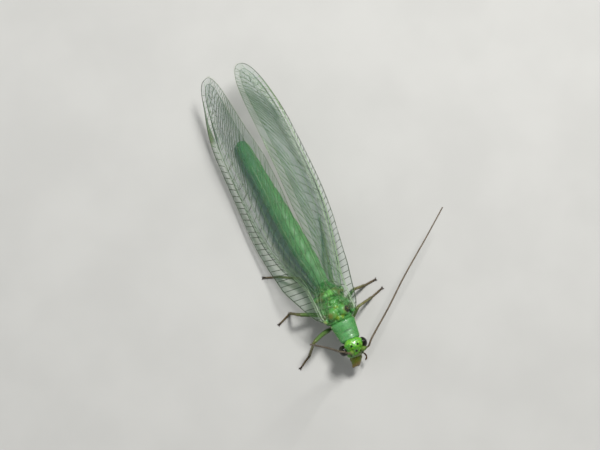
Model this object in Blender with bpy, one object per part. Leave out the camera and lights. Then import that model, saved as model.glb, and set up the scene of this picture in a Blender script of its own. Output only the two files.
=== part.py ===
"""A green lacewing at rest with its wings folded like a roof, life size.

The insect faces -Y, its left side is towards +X, and it stands on the plane z = 0. Sizes and
places below are in millimetres, measured from the midpoint between the wing hinges, and become
metres where a mesh is made. Every piece hangs on one empty, which brings the middle of the
model's bounding box over the origin.
"""

import bisect
import math

import bmesh
import bpy
from mathutils import Vector

MM = 0.001
GAP = 0.1
LEFT, RIGHT = 1, -1
SIDES = {"left": LEFT, "right": RIGHT}

BODY_SIDES = 14
LIMB_SIDES = 8
TRUNK_ROUNDNESS = 2.2

# Head, whose long axis runs from the crown down and forward to the mouth
HEAD_CENTRE = Vector((0.09, -2.42, 1.95))
FACE_LEAN = math.radians(36)
HEAD_ROLL = math.radians(8)
HEAD_SECTIONS = (  # along the axis, half width, half depth
    (-0.72, 0.22, 0.10),
    (-0.64, 0.42, 0.22),
    (-0.42, 0.58, 0.33),
    (-0.10, 0.66, 0.38),
    (0.20, 0.62, 0.37),
    (0.44, 0.52, 0.32),
    (0.60, 0.44, 0.27),
)
CLYPEUS_SECTIONS = ((0.66, 0.42, 0.25), (0.86, 0.38, 0.21), (1.04, 0.30, 0.16), (1.16, 0.18, 0.11))
EYE_OUT = 0.68
EYE_PLACE = (-2.31, 1.98)
EYE_RADII = (0.31, 0.35, 0.38)
EYE_SOCKET_GAP = 0.05
PALP_RADIUS = 0.17
PALPS = {
    "left": ((0.26, -2.62, 0.98), (0.52, -2.88, 0.86), (0.57, -3.12, 0.80), (0.42, -3.30, 0.76)),
    "right": ((-0.20, -2.62, 0.88), (-0.30, -2.88, 0.74), (-0.32, -3.10, 0.68), (-0.27, -3.30, 0.66)),
}

# Feelers, about ten millimetres long each, the right one raised
FEELER_RADIUS = 0.25
SCAPE_END = 0.07
FEELER_HALF = 0.5
FEELERS = {
    "left": (
        (0.43, -2.66, 2.16),
        (0.78, -2.72, 2.48),
        (0.98, -2.54, 2.63),
        (1.16, -2.38, 2.70),
        (2.89, -1.15, 2.95),
        (4.49, 0.08, 3.05),
        (6.97, 1.81, 2.92),
        (8.63, 3.00, 2.70),
    ),
    "right": (
        (-0.17, -2.66, 2.16),
        (-0.46, -2.66, 2.62),
        (-0.74, -2.50, 3.08),
        (-1.10, -2.38, 3.90),
        (-1.62, -2.22, 5.90),
        (-2.24, -2.08, 8.20),
        (-3.02, -1.96, 11.30),
    ),
}

# Thorax and abdomen: along the body, half width, underside, top
NECK_OFFSET = 0.05
PROTHORAX = (
    (-1.87, 0.56, 1.62, 2.28),
    (-1.78, 0.65, 1.50, 2.40),
    (-1.30, 0.74, 1.45, 2.48),
    (-0.85, 0.84, 1.42, 2.48),
    (-0.66, 0.76, 1.50, 2.42),
)
MESOTHORAX = (
    (-0.55, 0.72, 1.38, 2.46),
    (-0.42, 0.92, 1.14, 2.66),
    (-0.12, 0.95, 0.98, 2.80),
    (0.12, 0.84, 0.95, 2.85),
    (0.45, 0.82, 0.95, 2.84),
    (0.72, 0.72, 1.02, 2.66),
)
METATHORAX = (
    (0.82, 0.70, 1.04, 2.56),
    (1.05, 0.76, 1.02, 2.64),
    (1.45, 0.70, 1.08, 2.56),
    (1.80, 0.52, 1.22, 2.30),
)
ABDOMEN_LINE = ((-0.04, 1.90, 1.62), (-0.18, 4.30, 1.38), (-0.39, 7.50, 0.96), (-0.68, 12.50, 0.37))
ABDOMEN_RADII = (
    (0.0, 0.46),
    (0.12, 0.60),
    (0.3, 0.66),
    (0.5, 0.64),
    (0.75, 0.53),
    (0.95, 0.46),
    (1.0, 0.34),
)
ABDOMEN_RINGS = 16
ABDOMEN_TIP_AT = 0.93

# Legs: trochanter side of the coxa, knee, ankle and tip of the foot
LEG_RADIUS = 0.25
COXA_RADIUS = 0.26
FEMUR_RADII = (0.25, 0.27, 0.25)
FOOT_AXIS = 0.22
FOOT_BEND = 0.45
MITRE_REACH = 0.22
COXAE = {  # where each coxa leaves the body, and where it ends, on the left side
    "fore": ((0.34, -0.98, 1.75), (0.47, -0.84, 0.90)),
    "mid": ((0.34, 0.20, 1.30), (0.50, 0.26, 0.56)),
    "hind": ((0.32, 1.25, 1.40), (0.46, 1.42, 0.60)),
}
LEGS = {  # knee, ankle, foot tip
    "fore_left": ((1.32, -0.22, 1.76), (2.48, 0.10, 0.36), (3.38, 0.36)),
    "fore_right": ((-2.08, -1.08, 2.20), (-2.52, -1.50, 0.36), (-3.34, -1.96)),
    "mid_left": ((1.58, 0.92, 1.30), (2.44, 0.98, 0.36), (3.24, 1.04)),
    "mid_right": ((-2.15, 0.92, 1.52), (-2.50, 1.38, 0.36), (-3.36, 1.06)),
    "hind_left": ((0.98, 3.05, 0.92), (1.52, 4.95, 0.36), (1.78, 6.00)),
    "hind_right": ((-0.98, 2.92, 0.94), (-2.18, 3.78, 0.36), (-3.00, 4.12)),
}

# Wings. The radius vein is the line b = 0; flat sizes are along the wing and across it
WING_THICKNESS = 0.5
WING_LAYER_GAP = 0.11
FOREWING_LENGTH = 17.0
FOREWING_APEX = 1.5
FRONT_ROUNDS_FROM = 12.0
HIND_ROUNDS_FROM = 10.5
HIND_FULLNESS = 1.65
COSTAL_FIELD = ((0.0, 0.35), (1.0, 0.72), (2.4, 1.08), (4.0, 0.95), (6.0, 0.75), (8.5, 0.58), (12.0, 0.45))
FOREWING_WIDTH = (
    (0.0, 0.50),
    (1.0, 0.95),
    (2.0, 1.80),
    (4.0, 3.05),
    (6.0, 3.90),
    (8.0, 4.40),
    (10.5, 4.60),
)
HINDWING_FROM, HINDWING_TO = 2.15, 16.5
HINDWING_APEX = 1.45
HINDWING_FRONT = ((2.0, 0.45), (4.0, 0.65), (6.0, 0.65), (8.0, 0.35), (10.0, 0.20), (12.0, 0.15))
HINDWING_HIND = ((2.0, 1.20), (3.5, 2.10), (5.5, 2.90), (7.5, 3.40), (9.0, 3.60), (10.5, 3.65))
FOLD_HALF_WIDTH = 0.35
WING_POSE = {  # radius vein as (along the body, out from the middle, height), then slopes
    "left": {
        "vein": (
            (0.05, 1.08, 2.50),
            (1.0, 1.16, 2.40),
            (2.0, 1.36, 2.18),
            (3.0, 1.60, 1.86),
            (4.0, 1.84, 1.54),
            (6.0, 2.20, 1.14),
            (8.5, 2.34, 1.00),
            (12.5, 2.32, 0.95),
            (14.8, 2.20, 0.98),
            (17.4, 1.88, 1.05),
        ),
        "brim": 68.0,
        "foot": 74.0,
        "ridge": 50.0,
    },
    "right": {
        "vein": (
            (0.05, 1.08, 2.50),
            (1.0, 1.02, 2.36),
            (2.0, 1.04, 2.08),
            (3.0, 1.30, 1.74),
            (4.0, 1.62, 1.38),
            (6.0, 1.98, 1.00),
            (8.5, 2.10, 0.84),
            (12.5, 2.12, 0.82),
            (14.8, 1.98, 0.88),
            (17.4, 1.64, 1.00),
        ),
        "brim": 24.0,
        "foot": 80.0,
        "ridge": 57.0,
    },
}
FOREWING_GRID = (26, 11)
HINDWING_GRID = (22, 8)

COLOURS = {  # base colour, roughness
    "body_green": ((0.10, 0.36, 0.11, 1.0), 0.35),
    "head_green": ((0.14, 0.44, 0.07, 1.0), 0.32),
    "face_olive": ((0.22, 0.20, 0.06, 1.0), 0.35),
    "eye_dark": ((0.012, 0.016, 0.008, 1.0), 0.12),
    "leg_green": ((0.20, 0.32, 0.12, 1.0), 0.45),
    "foot_brown": ((0.19, 0.13, 0.06, 1.0), 0.5),
    "feeler_brown": ((0.20, 0.14, 0.09, 1.0), 0.5),
    "palp_brown": ((0.10, 0.06, 0.03, 1.0), 0.45),
    "wing_film": ((0.42, 0.56, 0.38, 1.0), 0.25),
}


def smooth_table(stations):
    """A smooth function through (place, value) pairs, level with its ends outside them."""
    places = [place for place, value in stations]
    values = [value for place, value in stations]
    last = len(places) - 1

    def slope(i):
        before, after = max(i - 1, 0), min(i + 1, last)
        return (values[after] - values[before]) / (places[after] - places[before])

    def value_at(place):
        if place <= places[0]:
            return values[0]
        if place >= places[last]:
            return values[last]
        i = bisect.bisect_right(places, place) - 1
        span = places[i + 1] - places[i]
        t = (place - places[i]) / span
        rise = t * t * (3 - 2 * t)
        leave = t * (1 - t) ** 2 * span
        arrive = t * t * (t - 1) * span
        mixed = values[i] + (values[i + 1] - values[i]) * rise
        return mixed + slope(i) * leave + slope(i + 1) * arrive

    return value_at


def smooth_line(points, count):
    """Evenly counted points on a smooth curve through the given ones."""
    points = [Vector(point) for point in points]
    reach = [0.0]
    for before, after in zip(points, points[1:]):
        reach.append(reach[-1] + (after - before).length)
    axes = [smooth_table([(s, point[axis]) for s, point in zip(reach, points)]) for axis in range(3)]
    steps = [reach[-1] * i / (count - 1) for i in range(count)]
    return [Vector([axis(step) for axis in axes]) for step in steps]


def make_material(name):
    """The Principled material of that name in COLOURS."""
    colour, roughness = COLOURS[name]
    material = bpy.data.materials.new(name)
    material.use_nodes = True
    shader = material.node_tree.nodes["Principled BSDF"]
    shader.inputs["Base Color"].default_value = colour
    shader.inputs["Roughness"].default_value = roughness
    shader.inputs["Metallic"].default_value = 0.0
    return material


def finish_mesh(name, bm, material, smooth=True):
    """Turns a mesh made in millimetres into an object in metres with outward faces."""
    bmesh.ops.remove_doubles(bm, verts=bm.verts, dist=1e-5)
    bmesh.ops.recalc_face_normals(bm, faces=bm.faces)
    bmesh.ops.scale(bm, vec=(MM, MM, MM), verts=bm.verts)
    mesh = bpy.data.meshes.new(name)
    bm.to_mesh(mesh)
    bm.free()
    if smooth:
        mesh.shade_smooth()
        mesh.set_sharp_from_angle(angle=math.radians(50))
    mesh.materials.append(material)
    piece = bpy.data.objects.new(name, mesh)
    bpy.context.scene.collection.objects.link(piece)
    return piece


def skin_rings(bm, rings):
    """Joins closed rings of points into one tube and closes both of its ends."""
    loops = [[bm.verts.new(point) for point in ring] for ring in rings]
    for lower, upper in zip(loops, loops[1:]):
        for i in range(len(lower)):
            j = (i + 1) % len(lower)
            bm.faces.new((lower[i], lower[j], upper[j], upper[i]))
    for loop in (loops[0], loops[-1]):
        middle = bm.verts.new(sum((vert.co for vert in loop), Vector()) / len(loop))
        for i in range(len(loop)):
            bm.faces.new((loop[i], loop[(i + 1) % len(loop)], middle))


def oval(centre, across, up, half_across, half_up, sides, roundness=2.0):
    """Points of an oval ring, squarer as the roundness grows."""
    points = []
    for i in range(sides):
        turn = 2 * math.pi * (i + 0.5) / sides
        c, s = math.cos(turn), math.sin(turn)
        x = math.copysign(abs(c) ** (2 / roundness), c) * half_across
        y = math.copysign(abs(s) ** (2 / roundness), s) * half_up
        points.append(centre + across * x + up * y)
    return points


def trunk(name, stations, material, centre_x=0.0, grow=0.0):
    """A length of the body as a loft along Y."""
    rings = []
    last = len(stations) - 1
    for i, (y, half_width, under, top) in enumerate(stations):
        y += {0: -grow, last: grow}.get(i, 0.0)
        centre = Vector((centre_x, y, (under + top) / 2))
        half_height = (top - under) / 2 + grow
        across, up = Vector((1, 0, 0)), Vector((0, 0, 1))
        rings.append(oval(centre, across, up, half_width + grow, half_height, BODY_SIDES, TRUNK_ROUNDNESS))
    bm = bmesh.new()
    skin_rings(bm, rings)
    return finish_mesh(name, bm, material)


def face_axes():
    """Down the face, and straight out of it."""
    level = math.cos(HEAD_ROLL)
    down = Vector((-math.sin(HEAD_ROLL), -math.sin(FACE_LEAN) * level, -math.cos(FACE_LEAN) * level))
    out = Vector((0, -math.cos(FACE_LEAN), math.sin(FACE_LEAN)))
    return down, out


def head_piece(name, sections, material, grow=0.0):
    """A loft along the head's own axis."""
    down, out = face_axes()
    across = out.cross(down)
    rings = []
    last = len(sections) - 1
    for i, (along, half_width, half_depth) in enumerate(sections):
        along += {0: -grow, last: grow}.get(i, 0.0)
        centre = HEAD_CENTRE + down * along
        ring = oval(centre, across, out, half_width + grow, half_depth + grow, BODY_SIDES)
        rings.append(ring)
    bm = bmesh.new()
    skin_rings(bm, rings)
    return finish_mesh(name, bm, material)


def make_eye(name, side, material, grow=0.0):
    """An eye as a ball a little taller than wide."""
    bm = bmesh.new()
    bmesh.ops.create_uvsphere(bm, u_segments=14, v_segments=9, radius=1.0)
    radii = [radius + grow for radius in EYE_RADII]
    bmesh.ops.scale(bm, vec=radii, verts=bm.verts)
    place = Vector((HEAD_CENTRE.x + side * EYE_OUT, *EYE_PLACE))
    bmesh.ops.translate(bm, vec=place, verts=bm.verts)
    return finish_mesh(name, bm, material)


def subtract(piece, cutter):
    """Cuts one piece clear of another's enlarged copy."""
    cutter.hide_render = True
    cutter.display_type = "WIRE"
    cut = piece.modifiers.new("clear_of_" + cutter.name, "BOOLEAN")
    cut.operation = "DIFFERENCE"
    cut.solver = "EXACT"
    cut.object = cutter


def frames_along(points):
    """Direction, across and up at each point, turned no more than the line bends."""
    frames = []
    across = None
    for i, point in enumerate(points):
        before, after = points[max(i - 1, 0)], points[min(i + 1, len(points) - 1)]
        ahead = (after - before).normalized()
        if across is None:
            level = Vector((0, 0, 1)) if abs(ahead.z) < 0.95 else Vector((0, 1, 0))
            across = ahead.cross(level)
        across = (across - ahead * across.dot(ahead)).normalized()
        frames.append((ahead, across, across.cross(ahead)))
    return frames


def halving_plane(before, joint, after):
    """The plane that halves the bend at a joint, as a point and a normal."""
    normal = (joint - before).normalized() + (after - joint).normalized()
    return joint, normal.normalized()


def slide_to_plane(ring, direction, plane, keep_behind):
    """Moves an end ring along its tube until it lies half a gap short of the joint's plane."""
    joint, normal = plane
    sign = 1 if keep_behind else -1
    target = joint - normal * sign * GAP / 2
    moved = []
    for point in ring:
        move = (target - point).dot(normal) / direction.dot(normal)
        outward = move * sign
        moved.append(point + direction * sign * min(outward, MITRE_REACH))
    return moved


def tube(name, points, radii, material, start=None, end=None, floor=None, sides=LIMB_SIDES):
    """A limb along the points, its ends cut to the joints' planes and its sole to the floor."""
    frames = frames_along(points)
    rings = []
    for point, (ahead, across, up), radius in zip(points, frames, radii):
        rings.append(oval(point, across, up, radius, radius, sides))
    if start:
        rings[0] = slide_to_plane(rings[0], frames[0][0], start, keep_behind=False)
    if end:
        rings[-1] = slide_to_plane(rings[-1], frames[-1][0], end, keep_behind=True)
    if floor is not None:
        rings = [[Vector((p.x, p.y, max(p.z, floor))) for p in ring] for ring in rings]
    bm = bmesh.new()
    skin_rings(bm, rings)
    return finish_mesh(name, bm, material)


def make_leg(pair, side_name, materials):
    """Coxa, femur, tibia and tarsus of one leg."""
    side = SIDES[side_name]
    name = f"{pair}leg_{side_name}"
    top, hip = [Vector((x * side, y, z)) for x, y, z in COXAE[pair]]
    knee, ankle, tip = LEGS[f"{pair}_{side_name}"]
    knee, ankle = Vector(knee), Vector(ankle)
    tip = Vector((*tip, FOOT_AXIS))
    toe_bend = ankle.lerp(tip, FOOT_BEND)
    toe_bend.z = FOOT_AXIS
    at_hip = halving_plane(top, hip, knee)
    at_knee = halving_plane(hip, knee, ankle)
    at_ankle = halving_plane(knee, ankle, toe_bend)
    green, brown = materials["leg_green"], materials["foot_brown"]
    coxa = tube(name + "_coxa", [top, top.lerp(hip, 0.6), hip], [COXA_RADIUS] * 3, green, end=at_hip)
    thigh = [hip, hip.lerp(knee, 0.5), knee]
    femur = tube(name + "_femur", thigh, FEMUR_RADII, green, at_hip, at_knee)
    shin = [knee, knee.lerp(ankle, 0.55), ankle]
    tibia = tube(name + "_tibia", shin, [LEG_RADIUS] * 3, green, at_knee, at_ankle)
    foot = [ankle, toe_bend, tip]
    tarsus = tube(name + "_tarsus", foot, [LEG_RADIUS] * 3, brown, start=at_ankle, floor=0.0)
    return coxa, [coxa, femur, tibia, tarsus]


def make_feeler(side_name, materials, head_cutter):
    """Scape and two lengths of one feeler, parted by thin cuts."""
    name = "antenna_" + side_name
    count = 31
    line = smooth_line(FEELERS[side_name], count)
    scape_to = round(SCAPE_END * (count - 1))
    half = round(FEELER_HALF * (count - 1))
    at_scape = halving_plane(line[scape_to - 1], line[scape_to], line[scape_to + 1])
    at_half = halving_plane(line[half - 1], line[half], line[half + 1])
    base_green, brown = materials["head_green"], materials["feeler_brown"]
    lengths = (
        ("_scape", line[: scape_to + 1], base_green, None, at_scape),
        ("_flagellum", line[scape_to : half + 1], brown, at_scape, at_half),
        ("_tip", line[half:], brown, at_half, None),
    )
    pieces = []
    for suffix, points, material, start, end in lengths:
        radii = [FEELER_RADIUS] * len(points)
        pieces.append(tube(name + suffix, points, radii, material, start, end))
    subtract(pieces[0], head_cutter)
    return pieces


def make_abdomen(materials):
    """The long abdomen and its tip segments, which rest on the floor."""
    line = smooth_line(ABDOMEN_LINE, ABDOMEN_RINGS)
    radius_at = smooth_table(ABDOMEN_RADII)
    radii = [radius_at(i / (ABDOMEN_RINGS - 1)) for i in range(ABDOMEN_RINGS)]
    cut = round(ABDOMEN_TIP_AT * (ABDOMEN_RINGS - 1))
    plane = halving_plane(line[cut - 1], line[cut], line[cut + 1])
    green = materials["body_green"]
    body = tube(
        "abdomen", line[: cut + 1], radii[: cut + 1], green, end=plane, floor=0.0, sides=BODY_SIDES
    )
    tip = tube("abdomen_tip", line[cut:], radii[cut:], green, plane, floor=0.0, sides=BODY_SIDES)
    return [body, tip]


class WingSurface:
    """Lays flat wing coordinates on the folded wing.

    a runs along the wing and b across it, with b = 0 on the radius vein. The costal field
    hangs out and down from that vein as a brim, and the blade climbs from it to the ridge,
    less steep towards the top.
    """

    SAMPLES = 120
    STEP = 0.08

    def __init__(self, side, pose):
        self.side = side
        self.brim, self.foot, self.ridge = (math.radians(pose[key]) for key in ("brim", "foot", "ridge"))
        self.out_at = smooth_table([(y, out) for y, out, up in pose["vein"]])
        self.up_at = smooth_table([(y, up) for y, out, up in pose["vein"]])
        first, last = pose["vein"][0][0], pose["vein"][-1][0]
        ys = [first + (last - first) * i / self.SAMPLES for i in range(self.SAMPLES + 1)]
        places = [Vector((self.out_at(y), y, self.up_at(y))) for y in ys]
        reach = [0.0]
        for before, after in zip(places, places[1:]):
            reach.append(reach[-1] + (after - before).length)
        self.y_at = smooth_table(list(zip(reach, ys)))

    def slope(self, a, b):
        """How steeply the wing climbs towards the ridge there, in radians."""
        climb = min(max(b, 0.0) / forewing_hind(a), 1.0)
        blade = self.foot + (self.ridge - self.foot) * climb
        t = min(max((b + FOLD_HALF_WIDTH) / (2 * FOLD_HALF_WIDTH), 0.0), 1.0)
        return self.brim + (blade - self.brim) * t * t * (3 - 2 * t)

    def point(self, a, b, lift=0.0):
        """The place of (a, b), raised off the wing's middle surface by lift."""
        y = self.y_at(a)
        out, up = self.out_at(y), self.up_at(y)
        steps = max(1, math.ceil(abs(b) / self.STEP))
        step = b / steps
        for i in range(steps):
            angle = self.slope(a, (i + 0.5) * step)
            out -= math.cos(angle) * step
            up += math.sin(angle) * step
        angle = self.slope(a, b)
        out += math.sin(angle) * lift
        up += math.cos(angle) * lift
        return Vector((out * self.side, y, up))


costal_field = smooth_table(COSTAL_FIELD)
forewing_width = smooth_table(FOREWING_WIDTH)
hindwing_front_line = smooth_table(HINDWING_FRONT)
hindwing_hind_line = smooth_table(HINDWING_HIND)


def round_to_apex(a, start, end, edge, apex, fullness=2.0):
    """An edge that rounds like a quarter ellipse from where it starts to the wing's apex."""
    t = min((a - start) / (end - start), 1.0)
    return apex + (edge - apex) * math.sqrt(1 - t**fullness)


def forewing_front(a):
    """The costal margin of the forewing."""
    if a <= FRONT_ROUNDS_FROM:
        return -costal_field(a)
    edge = -costal_field(FRONT_ROUNDS_FROM)
    return round_to_apex(a, FRONT_ROUNDS_FROM, FOREWING_LENGTH, edge, FOREWING_APEX)


def forewing_hind(a):
    """The hind margin of the forewing."""
    if a <= HIND_ROUNDS_FROM:
        return forewing_width(a)
    edge = forewing_width(HIND_ROUNDS_FROM)
    return round_to_apex(a, HIND_ROUNDS_FROM, FOREWING_LENGTH, edge, FOREWING_APEX, HIND_FULLNESS)


def hindwing_front(a):
    """The costal margin of the hindwing, on the forewing's coordinates."""
    if a <= FRONT_ROUNDS_FROM:
        return hindwing_front_line(a)
    edge = hindwing_front_line(FRONT_ROUNDS_FROM)
    return round_to_apex(a, FRONT_ROUNDS_FROM, HINDWING_TO, edge, HINDWING_APEX)


def hindwing_hind(a):
    """The hind margin of the hindwing, on the forewing's coordinates."""
    if a <= HIND_ROUNDS_FROM:
        return hindwing_hind_line(a)
    edge = hindwing_hind_line(HIND_ROUNDS_FROM)
    return round_to_apex(a, HIND_ROUNDS_FROM, HINDWING_TO, edge, HINDWING_APEX, HIND_FULLNESS)


def make_wing(name, surface, outline, span, grid, depth, material):
    """A wing as a thin slab between its two margins, closer set rows near the rounded tip."""
    front, hind = outline
    start, end = span
    rows, columns = grid
    middle = -depth
    sheets = []
    for lift in (middle + WING_THICKNESS / 2, middle - WING_THICKNESS / 2):
        sheet = []
        for i in range(rows):
            t = i / (rows - 1)
            a = start + (end - start) * math.sin(t * math.pi / 2) ** 0.8 * 0.9995
            low, high = front(a), hind(a)
            spots = [low + (high - low) * j / (columns - 1) for j in range(columns)]
            sheet.append([surface.point(a, b, lift) for b in spots])
        sheets.append(sheet)
    bm = bmesh.new()
    upper, under = [[[bm.verts.new(p) for p in row] for row in sheet] for sheet in sheets]
    for i in range(rows - 1):
        for j in range(columns - 1):
            bm.faces.new((upper[i][j], upper[i + 1][j], upper[i + 1][j + 1], upper[i][j + 1]))
            bm.faces.new((under[i][j + 1], under[i + 1][j + 1], under[i + 1][j], under[i][j]))
    rim = [(0, j) for j in range(columns)]
    rim += [(i, columns - 1) for i in range(1, rows)]
    rim += [(rows - 1, j) for j in range(columns - 2, -1, -1)]
    rim += [(i, 0) for i in range(rows - 2, 0, -1)]
    for (i, j), (k, m) in zip(rim, rim[1:] + rim[:1]):
        bm.faces.new((upper[i][j], upper[k][m], under[k][m], under[i][j]))
    return finish_mesh(name, bm, material)


def make_wings(side_name, material):
    """The two wings of one side, the hindwing under the forewing."""
    surface = WingSurface(SIDES[side_name], WING_POSE[side_name])
    fore_outline = (forewing_front, forewing_hind)
    hind_outline = (hindwing_front, hindwing_hind)
    fore_span = (0.0, FOREWING_LENGTH)
    hind_span = (HINDWING_FROM, HINDWING_TO)
    layer = WING_THICKNESS + WING_LAYER_GAP
    fore = make_wing(
        "forewing_" + side_name, surface, fore_outline, fore_span, FOREWING_GRID, 0.0, material
    )
    hind = make_wing(
        "hindwing_" + side_name, surface, hind_outline, hind_span, HINDWING_GRID, layer, material
    )
    return [fore, hind]


def make_head(materials):
    """Head, eyes, clypeus and palps; the head keeps a socket for each eye."""
    green = materials["head_green"]
    head = head_piece("head", HEAD_SECTIONS, green)
    pieces = [head, head_piece("clypeus", CLYPEUS_SECTIONS, materials["face_olive"])]
    for side_name, side in SIDES.items():
        pieces.append(make_eye("eye_" + side_name, side, materials["eye_dark"]))
        socket = make_eye("cutter_eye_" + side_name, side, green, EYE_SOCKET_GAP)
        subtract(head, socket)
        pieces.append(socket)
        palp = smooth_line(PALPS[side_name], 6)
        radii = [PALP_RADIUS] * len(palp)
        pieces.append(tube("palp_" + side_name, palp, radii, materials["palp_brown"], sides=6))
    return pieces


def make_thorax(materials):
    """The three parts of the thorax, with an enlarged copy of each for cutting its coxae."""
    green = materials["body_green"]
    parts = {
        "fore": ("prothorax", PROTHORAX, NECK_OFFSET),
        "mid": ("mesothorax", MESOTHORAX, 0.0),
        "hind": ("metathorax", METATHORAX, 0.0),
    }
    pieces, cutters = [], {}
    for pair, (name, stations, centre_x) in parts.items():
        pieces.append(trunk(name, stations, green, centre_x))
        cutters[pair] = trunk("cutter_" + name, stations, green, centre_x, grow=GAP)
    return pieces, cutters


def world_box(pieces):
    """Least and greatest corner of the shown pieces."""
    bpy.context.view_layer.update()
    graph = bpy.context.evaluated_depsgraph_get()
    corners = []
    for piece in pieces:
        if not piece.hide_render:
            shown = piece.evaluated_get(graph)
            corners += [shown.matrix_world @ vert.co for vert in shown.data.vertices]
    low = [min(corner[axis] for corner in corners) for axis in range(3)]
    high = [max(corner[axis] for corner in corners) for axis in range(3)]
    return low, high


def main():
    for old in list(bpy.data.objects):
        bpy.data.objects.remove(old, do_unlink=True)
    materials = {name: make_material(name) for name in COLOURS}
    pieces = make_head(materials)
    head_cutter = head_piece("cutter_head", HEAD_SECTIONS, materials["head_green"], grow=EYE_SOCKET_GAP)
    pieces.append(head_cutter)
    thorax, cutters = make_thorax(materials)
    pieces += thorax + list(cutters.values())
    pieces += make_abdomen(materials)
    for side_name in SIDES:
        pieces += make_feeler(side_name, materials, head_cutter)
        for pair in COXAE:
            coxa, leg = make_leg(pair, side_name, materials)
            subtract(coxa, cutters[pair])
            pieces += leg
        pieces += make_wings(side_name, materials["wing_film"])
    low, high = world_box(pieces)
    root = bpy.data.objects.new("lacewing", None)
    bpy.context.scene.collection.objects.link(root)
    root.location = (-(low[0] + high[0]) / 2, -(low[1] + high[1]) / 2, -low[2])
    for piece in pieces:
        piece.parent = root


main()
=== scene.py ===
"""A green lacewing at rest, life size: shaped and finished pieces over the packed solids.

Pieces are shaped in millimetres, measured from the midpoint between the wing hinges, with the
head towards -Y, the insect's left side towards +X and the floor at z = 0. seat() then brings each
one to its place in metres. Wings and veins are drawn on flat wing measures, a along the wing and
b across it from the radius vein, and laid on the folded wing by Roof.
"""

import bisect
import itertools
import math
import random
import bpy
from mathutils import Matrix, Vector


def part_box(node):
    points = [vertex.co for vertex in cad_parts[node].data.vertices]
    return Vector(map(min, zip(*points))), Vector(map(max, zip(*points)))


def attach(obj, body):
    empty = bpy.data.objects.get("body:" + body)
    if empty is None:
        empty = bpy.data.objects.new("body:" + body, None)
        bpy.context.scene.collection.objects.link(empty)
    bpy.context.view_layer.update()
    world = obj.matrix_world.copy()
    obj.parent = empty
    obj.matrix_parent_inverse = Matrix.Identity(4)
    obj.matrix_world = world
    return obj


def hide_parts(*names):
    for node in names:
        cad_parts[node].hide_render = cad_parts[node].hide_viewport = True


bl_info = {
    "name": "Green Lacewing",
    "version": (1, 0, 0),
    "blender": (4, 5, 0),
    "location": "View3D > Sidebar > Lacewing",
    "description": "Builds a life-size green lacewing, piece by piece, over its solids",
    "category": "Add Mesh",
}

import bpy
import numpy as np
from mathutils import Matrix, Vector

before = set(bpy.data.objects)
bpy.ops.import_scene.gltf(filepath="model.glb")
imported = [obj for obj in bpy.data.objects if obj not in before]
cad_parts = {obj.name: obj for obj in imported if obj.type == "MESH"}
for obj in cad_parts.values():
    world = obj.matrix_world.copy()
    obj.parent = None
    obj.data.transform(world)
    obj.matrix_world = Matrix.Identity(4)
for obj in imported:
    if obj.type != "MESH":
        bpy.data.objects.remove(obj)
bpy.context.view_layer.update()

MM = 0.001
SIDES = {"left": 1, "right": -1}

# Places shared with the solids, in millimetres

HEAD_CENTRE = Vector((0.09, -2.42, 1.95))
FACE_LEAN = math.radians(36)
HEAD_ROLL = math.radians(10)
HEAD_NUDGE = Vector((-0.06, 0, 0))
EYE_OUT = 0.68
EYE_SHOWN_MIDDLE, EYE_SHOWN_OUT = -0.03, 0.64
EYE_PLACE = (-2.31, 1.98)
EYE_RADII = (0.28, 0.33, 0.36)
PALP_ROOTS = {"left": (0.12, -2.66, 1.28), "right": (-0.18, -2.66, 1.24)}
PALPS = {
    "left": ((0.26, -2.62, 0.98), (0.52, -2.88, 0.86), (0.57, -3.12, 0.80), (0.42, -3.30, 0.76)),
    "right": ((-0.20, -2.62, 0.88), (-0.30, -2.88, 0.74), (-0.32, -3.10, 0.68), (-0.27, -3.30, 0.66)),
}
FEELERS = {
    "left": (
        (0.43, -2.66, 2.16),
        (0.78, -2.72, 2.48),
        (0.98, -2.54, 2.63),
        (1.16, -2.38, 2.70),
        (2.89, -1.15, 2.95),
        (4.49, 0.08, 3.05),
        (6.97, 1.81, 2.92),
        (8.63, 3.00, 2.70),
    ),
    "right": (
        (-0.17, -2.66, 2.16),
        (-0.46, -2.66, 2.62),
        (-0.74, -2.50, 3.08),
        (-1.10, -2.38, 3.90),
        (-1.62, -2.22, 5.90),
        (-2.24, -2.08, 8.20),
        (-3.02, -1.96, 11.30),
    ),
}
COXAE = {
    "fore": ((0.34, -0.98, 1.75), (0.47, -0.84, 0.90)),
    "mid": ((0.34, 0.20, 1.30), (0.50, 0.26, 0.56)),
    "hind": ((0.32, 1.25, 1.40), (0.46, 1.42, 0.60)),
}
LEGS = {  # knee, ankle, tip of the foot
    "fore_left": ((1.32, -0.22, 1.76), (2.48, 0.10, 0.36), (3.38, 0.36)),
    "fore_right": ((-2.08, -1.08, 2.20), (-2.52, -1.50, 0.36), (-3.34, -1.96)),
    "mid_left": ((1.58, 0.92, 1.30), (2.44, 0.98, 0.36), (3.24, 1.04)),
    "mid_right": ((-2.15, 0.92, 1.52), (-2.50, 1.38, 0.36), (-3.36, 1.06)),
    "hind_left": ((0.98, 3.05, 0.92), (1.52, 4.95, 0.36), (1.78, 6.00)),
    "hind_right": ((-0.98, 2.92, 0.94), (-2.18, 3.78, 0.36), (-3.00, 4.12)),
}
THIGH_BOWS = {"fore_right": (0.0, 0.05, 0.10)}
HIP_NUDGES = {"fore_right": (-0.10, 0.22, 0.0)}
ABDOMEN_LINE = ((-0.04, 1.90, 1.62), (-0.18, 4.30, 1.38), (-0.39, 7.50, 0.96), (-0.68, 12.50, 0.37))
ABDOMEN_RADII = (  # share of the length, and radius
    (0.0, 0.46), (0.12, 0.60), (0.3, 0.66), (0.5, 0.64), (0.75, 0.53), (0.95, 0.46), (1.0, 0.34),
)
FOREWING_FROM, FOREWING_LENGTH, FOREWING_APEX = -0.36, 17.0, 1.5
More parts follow.
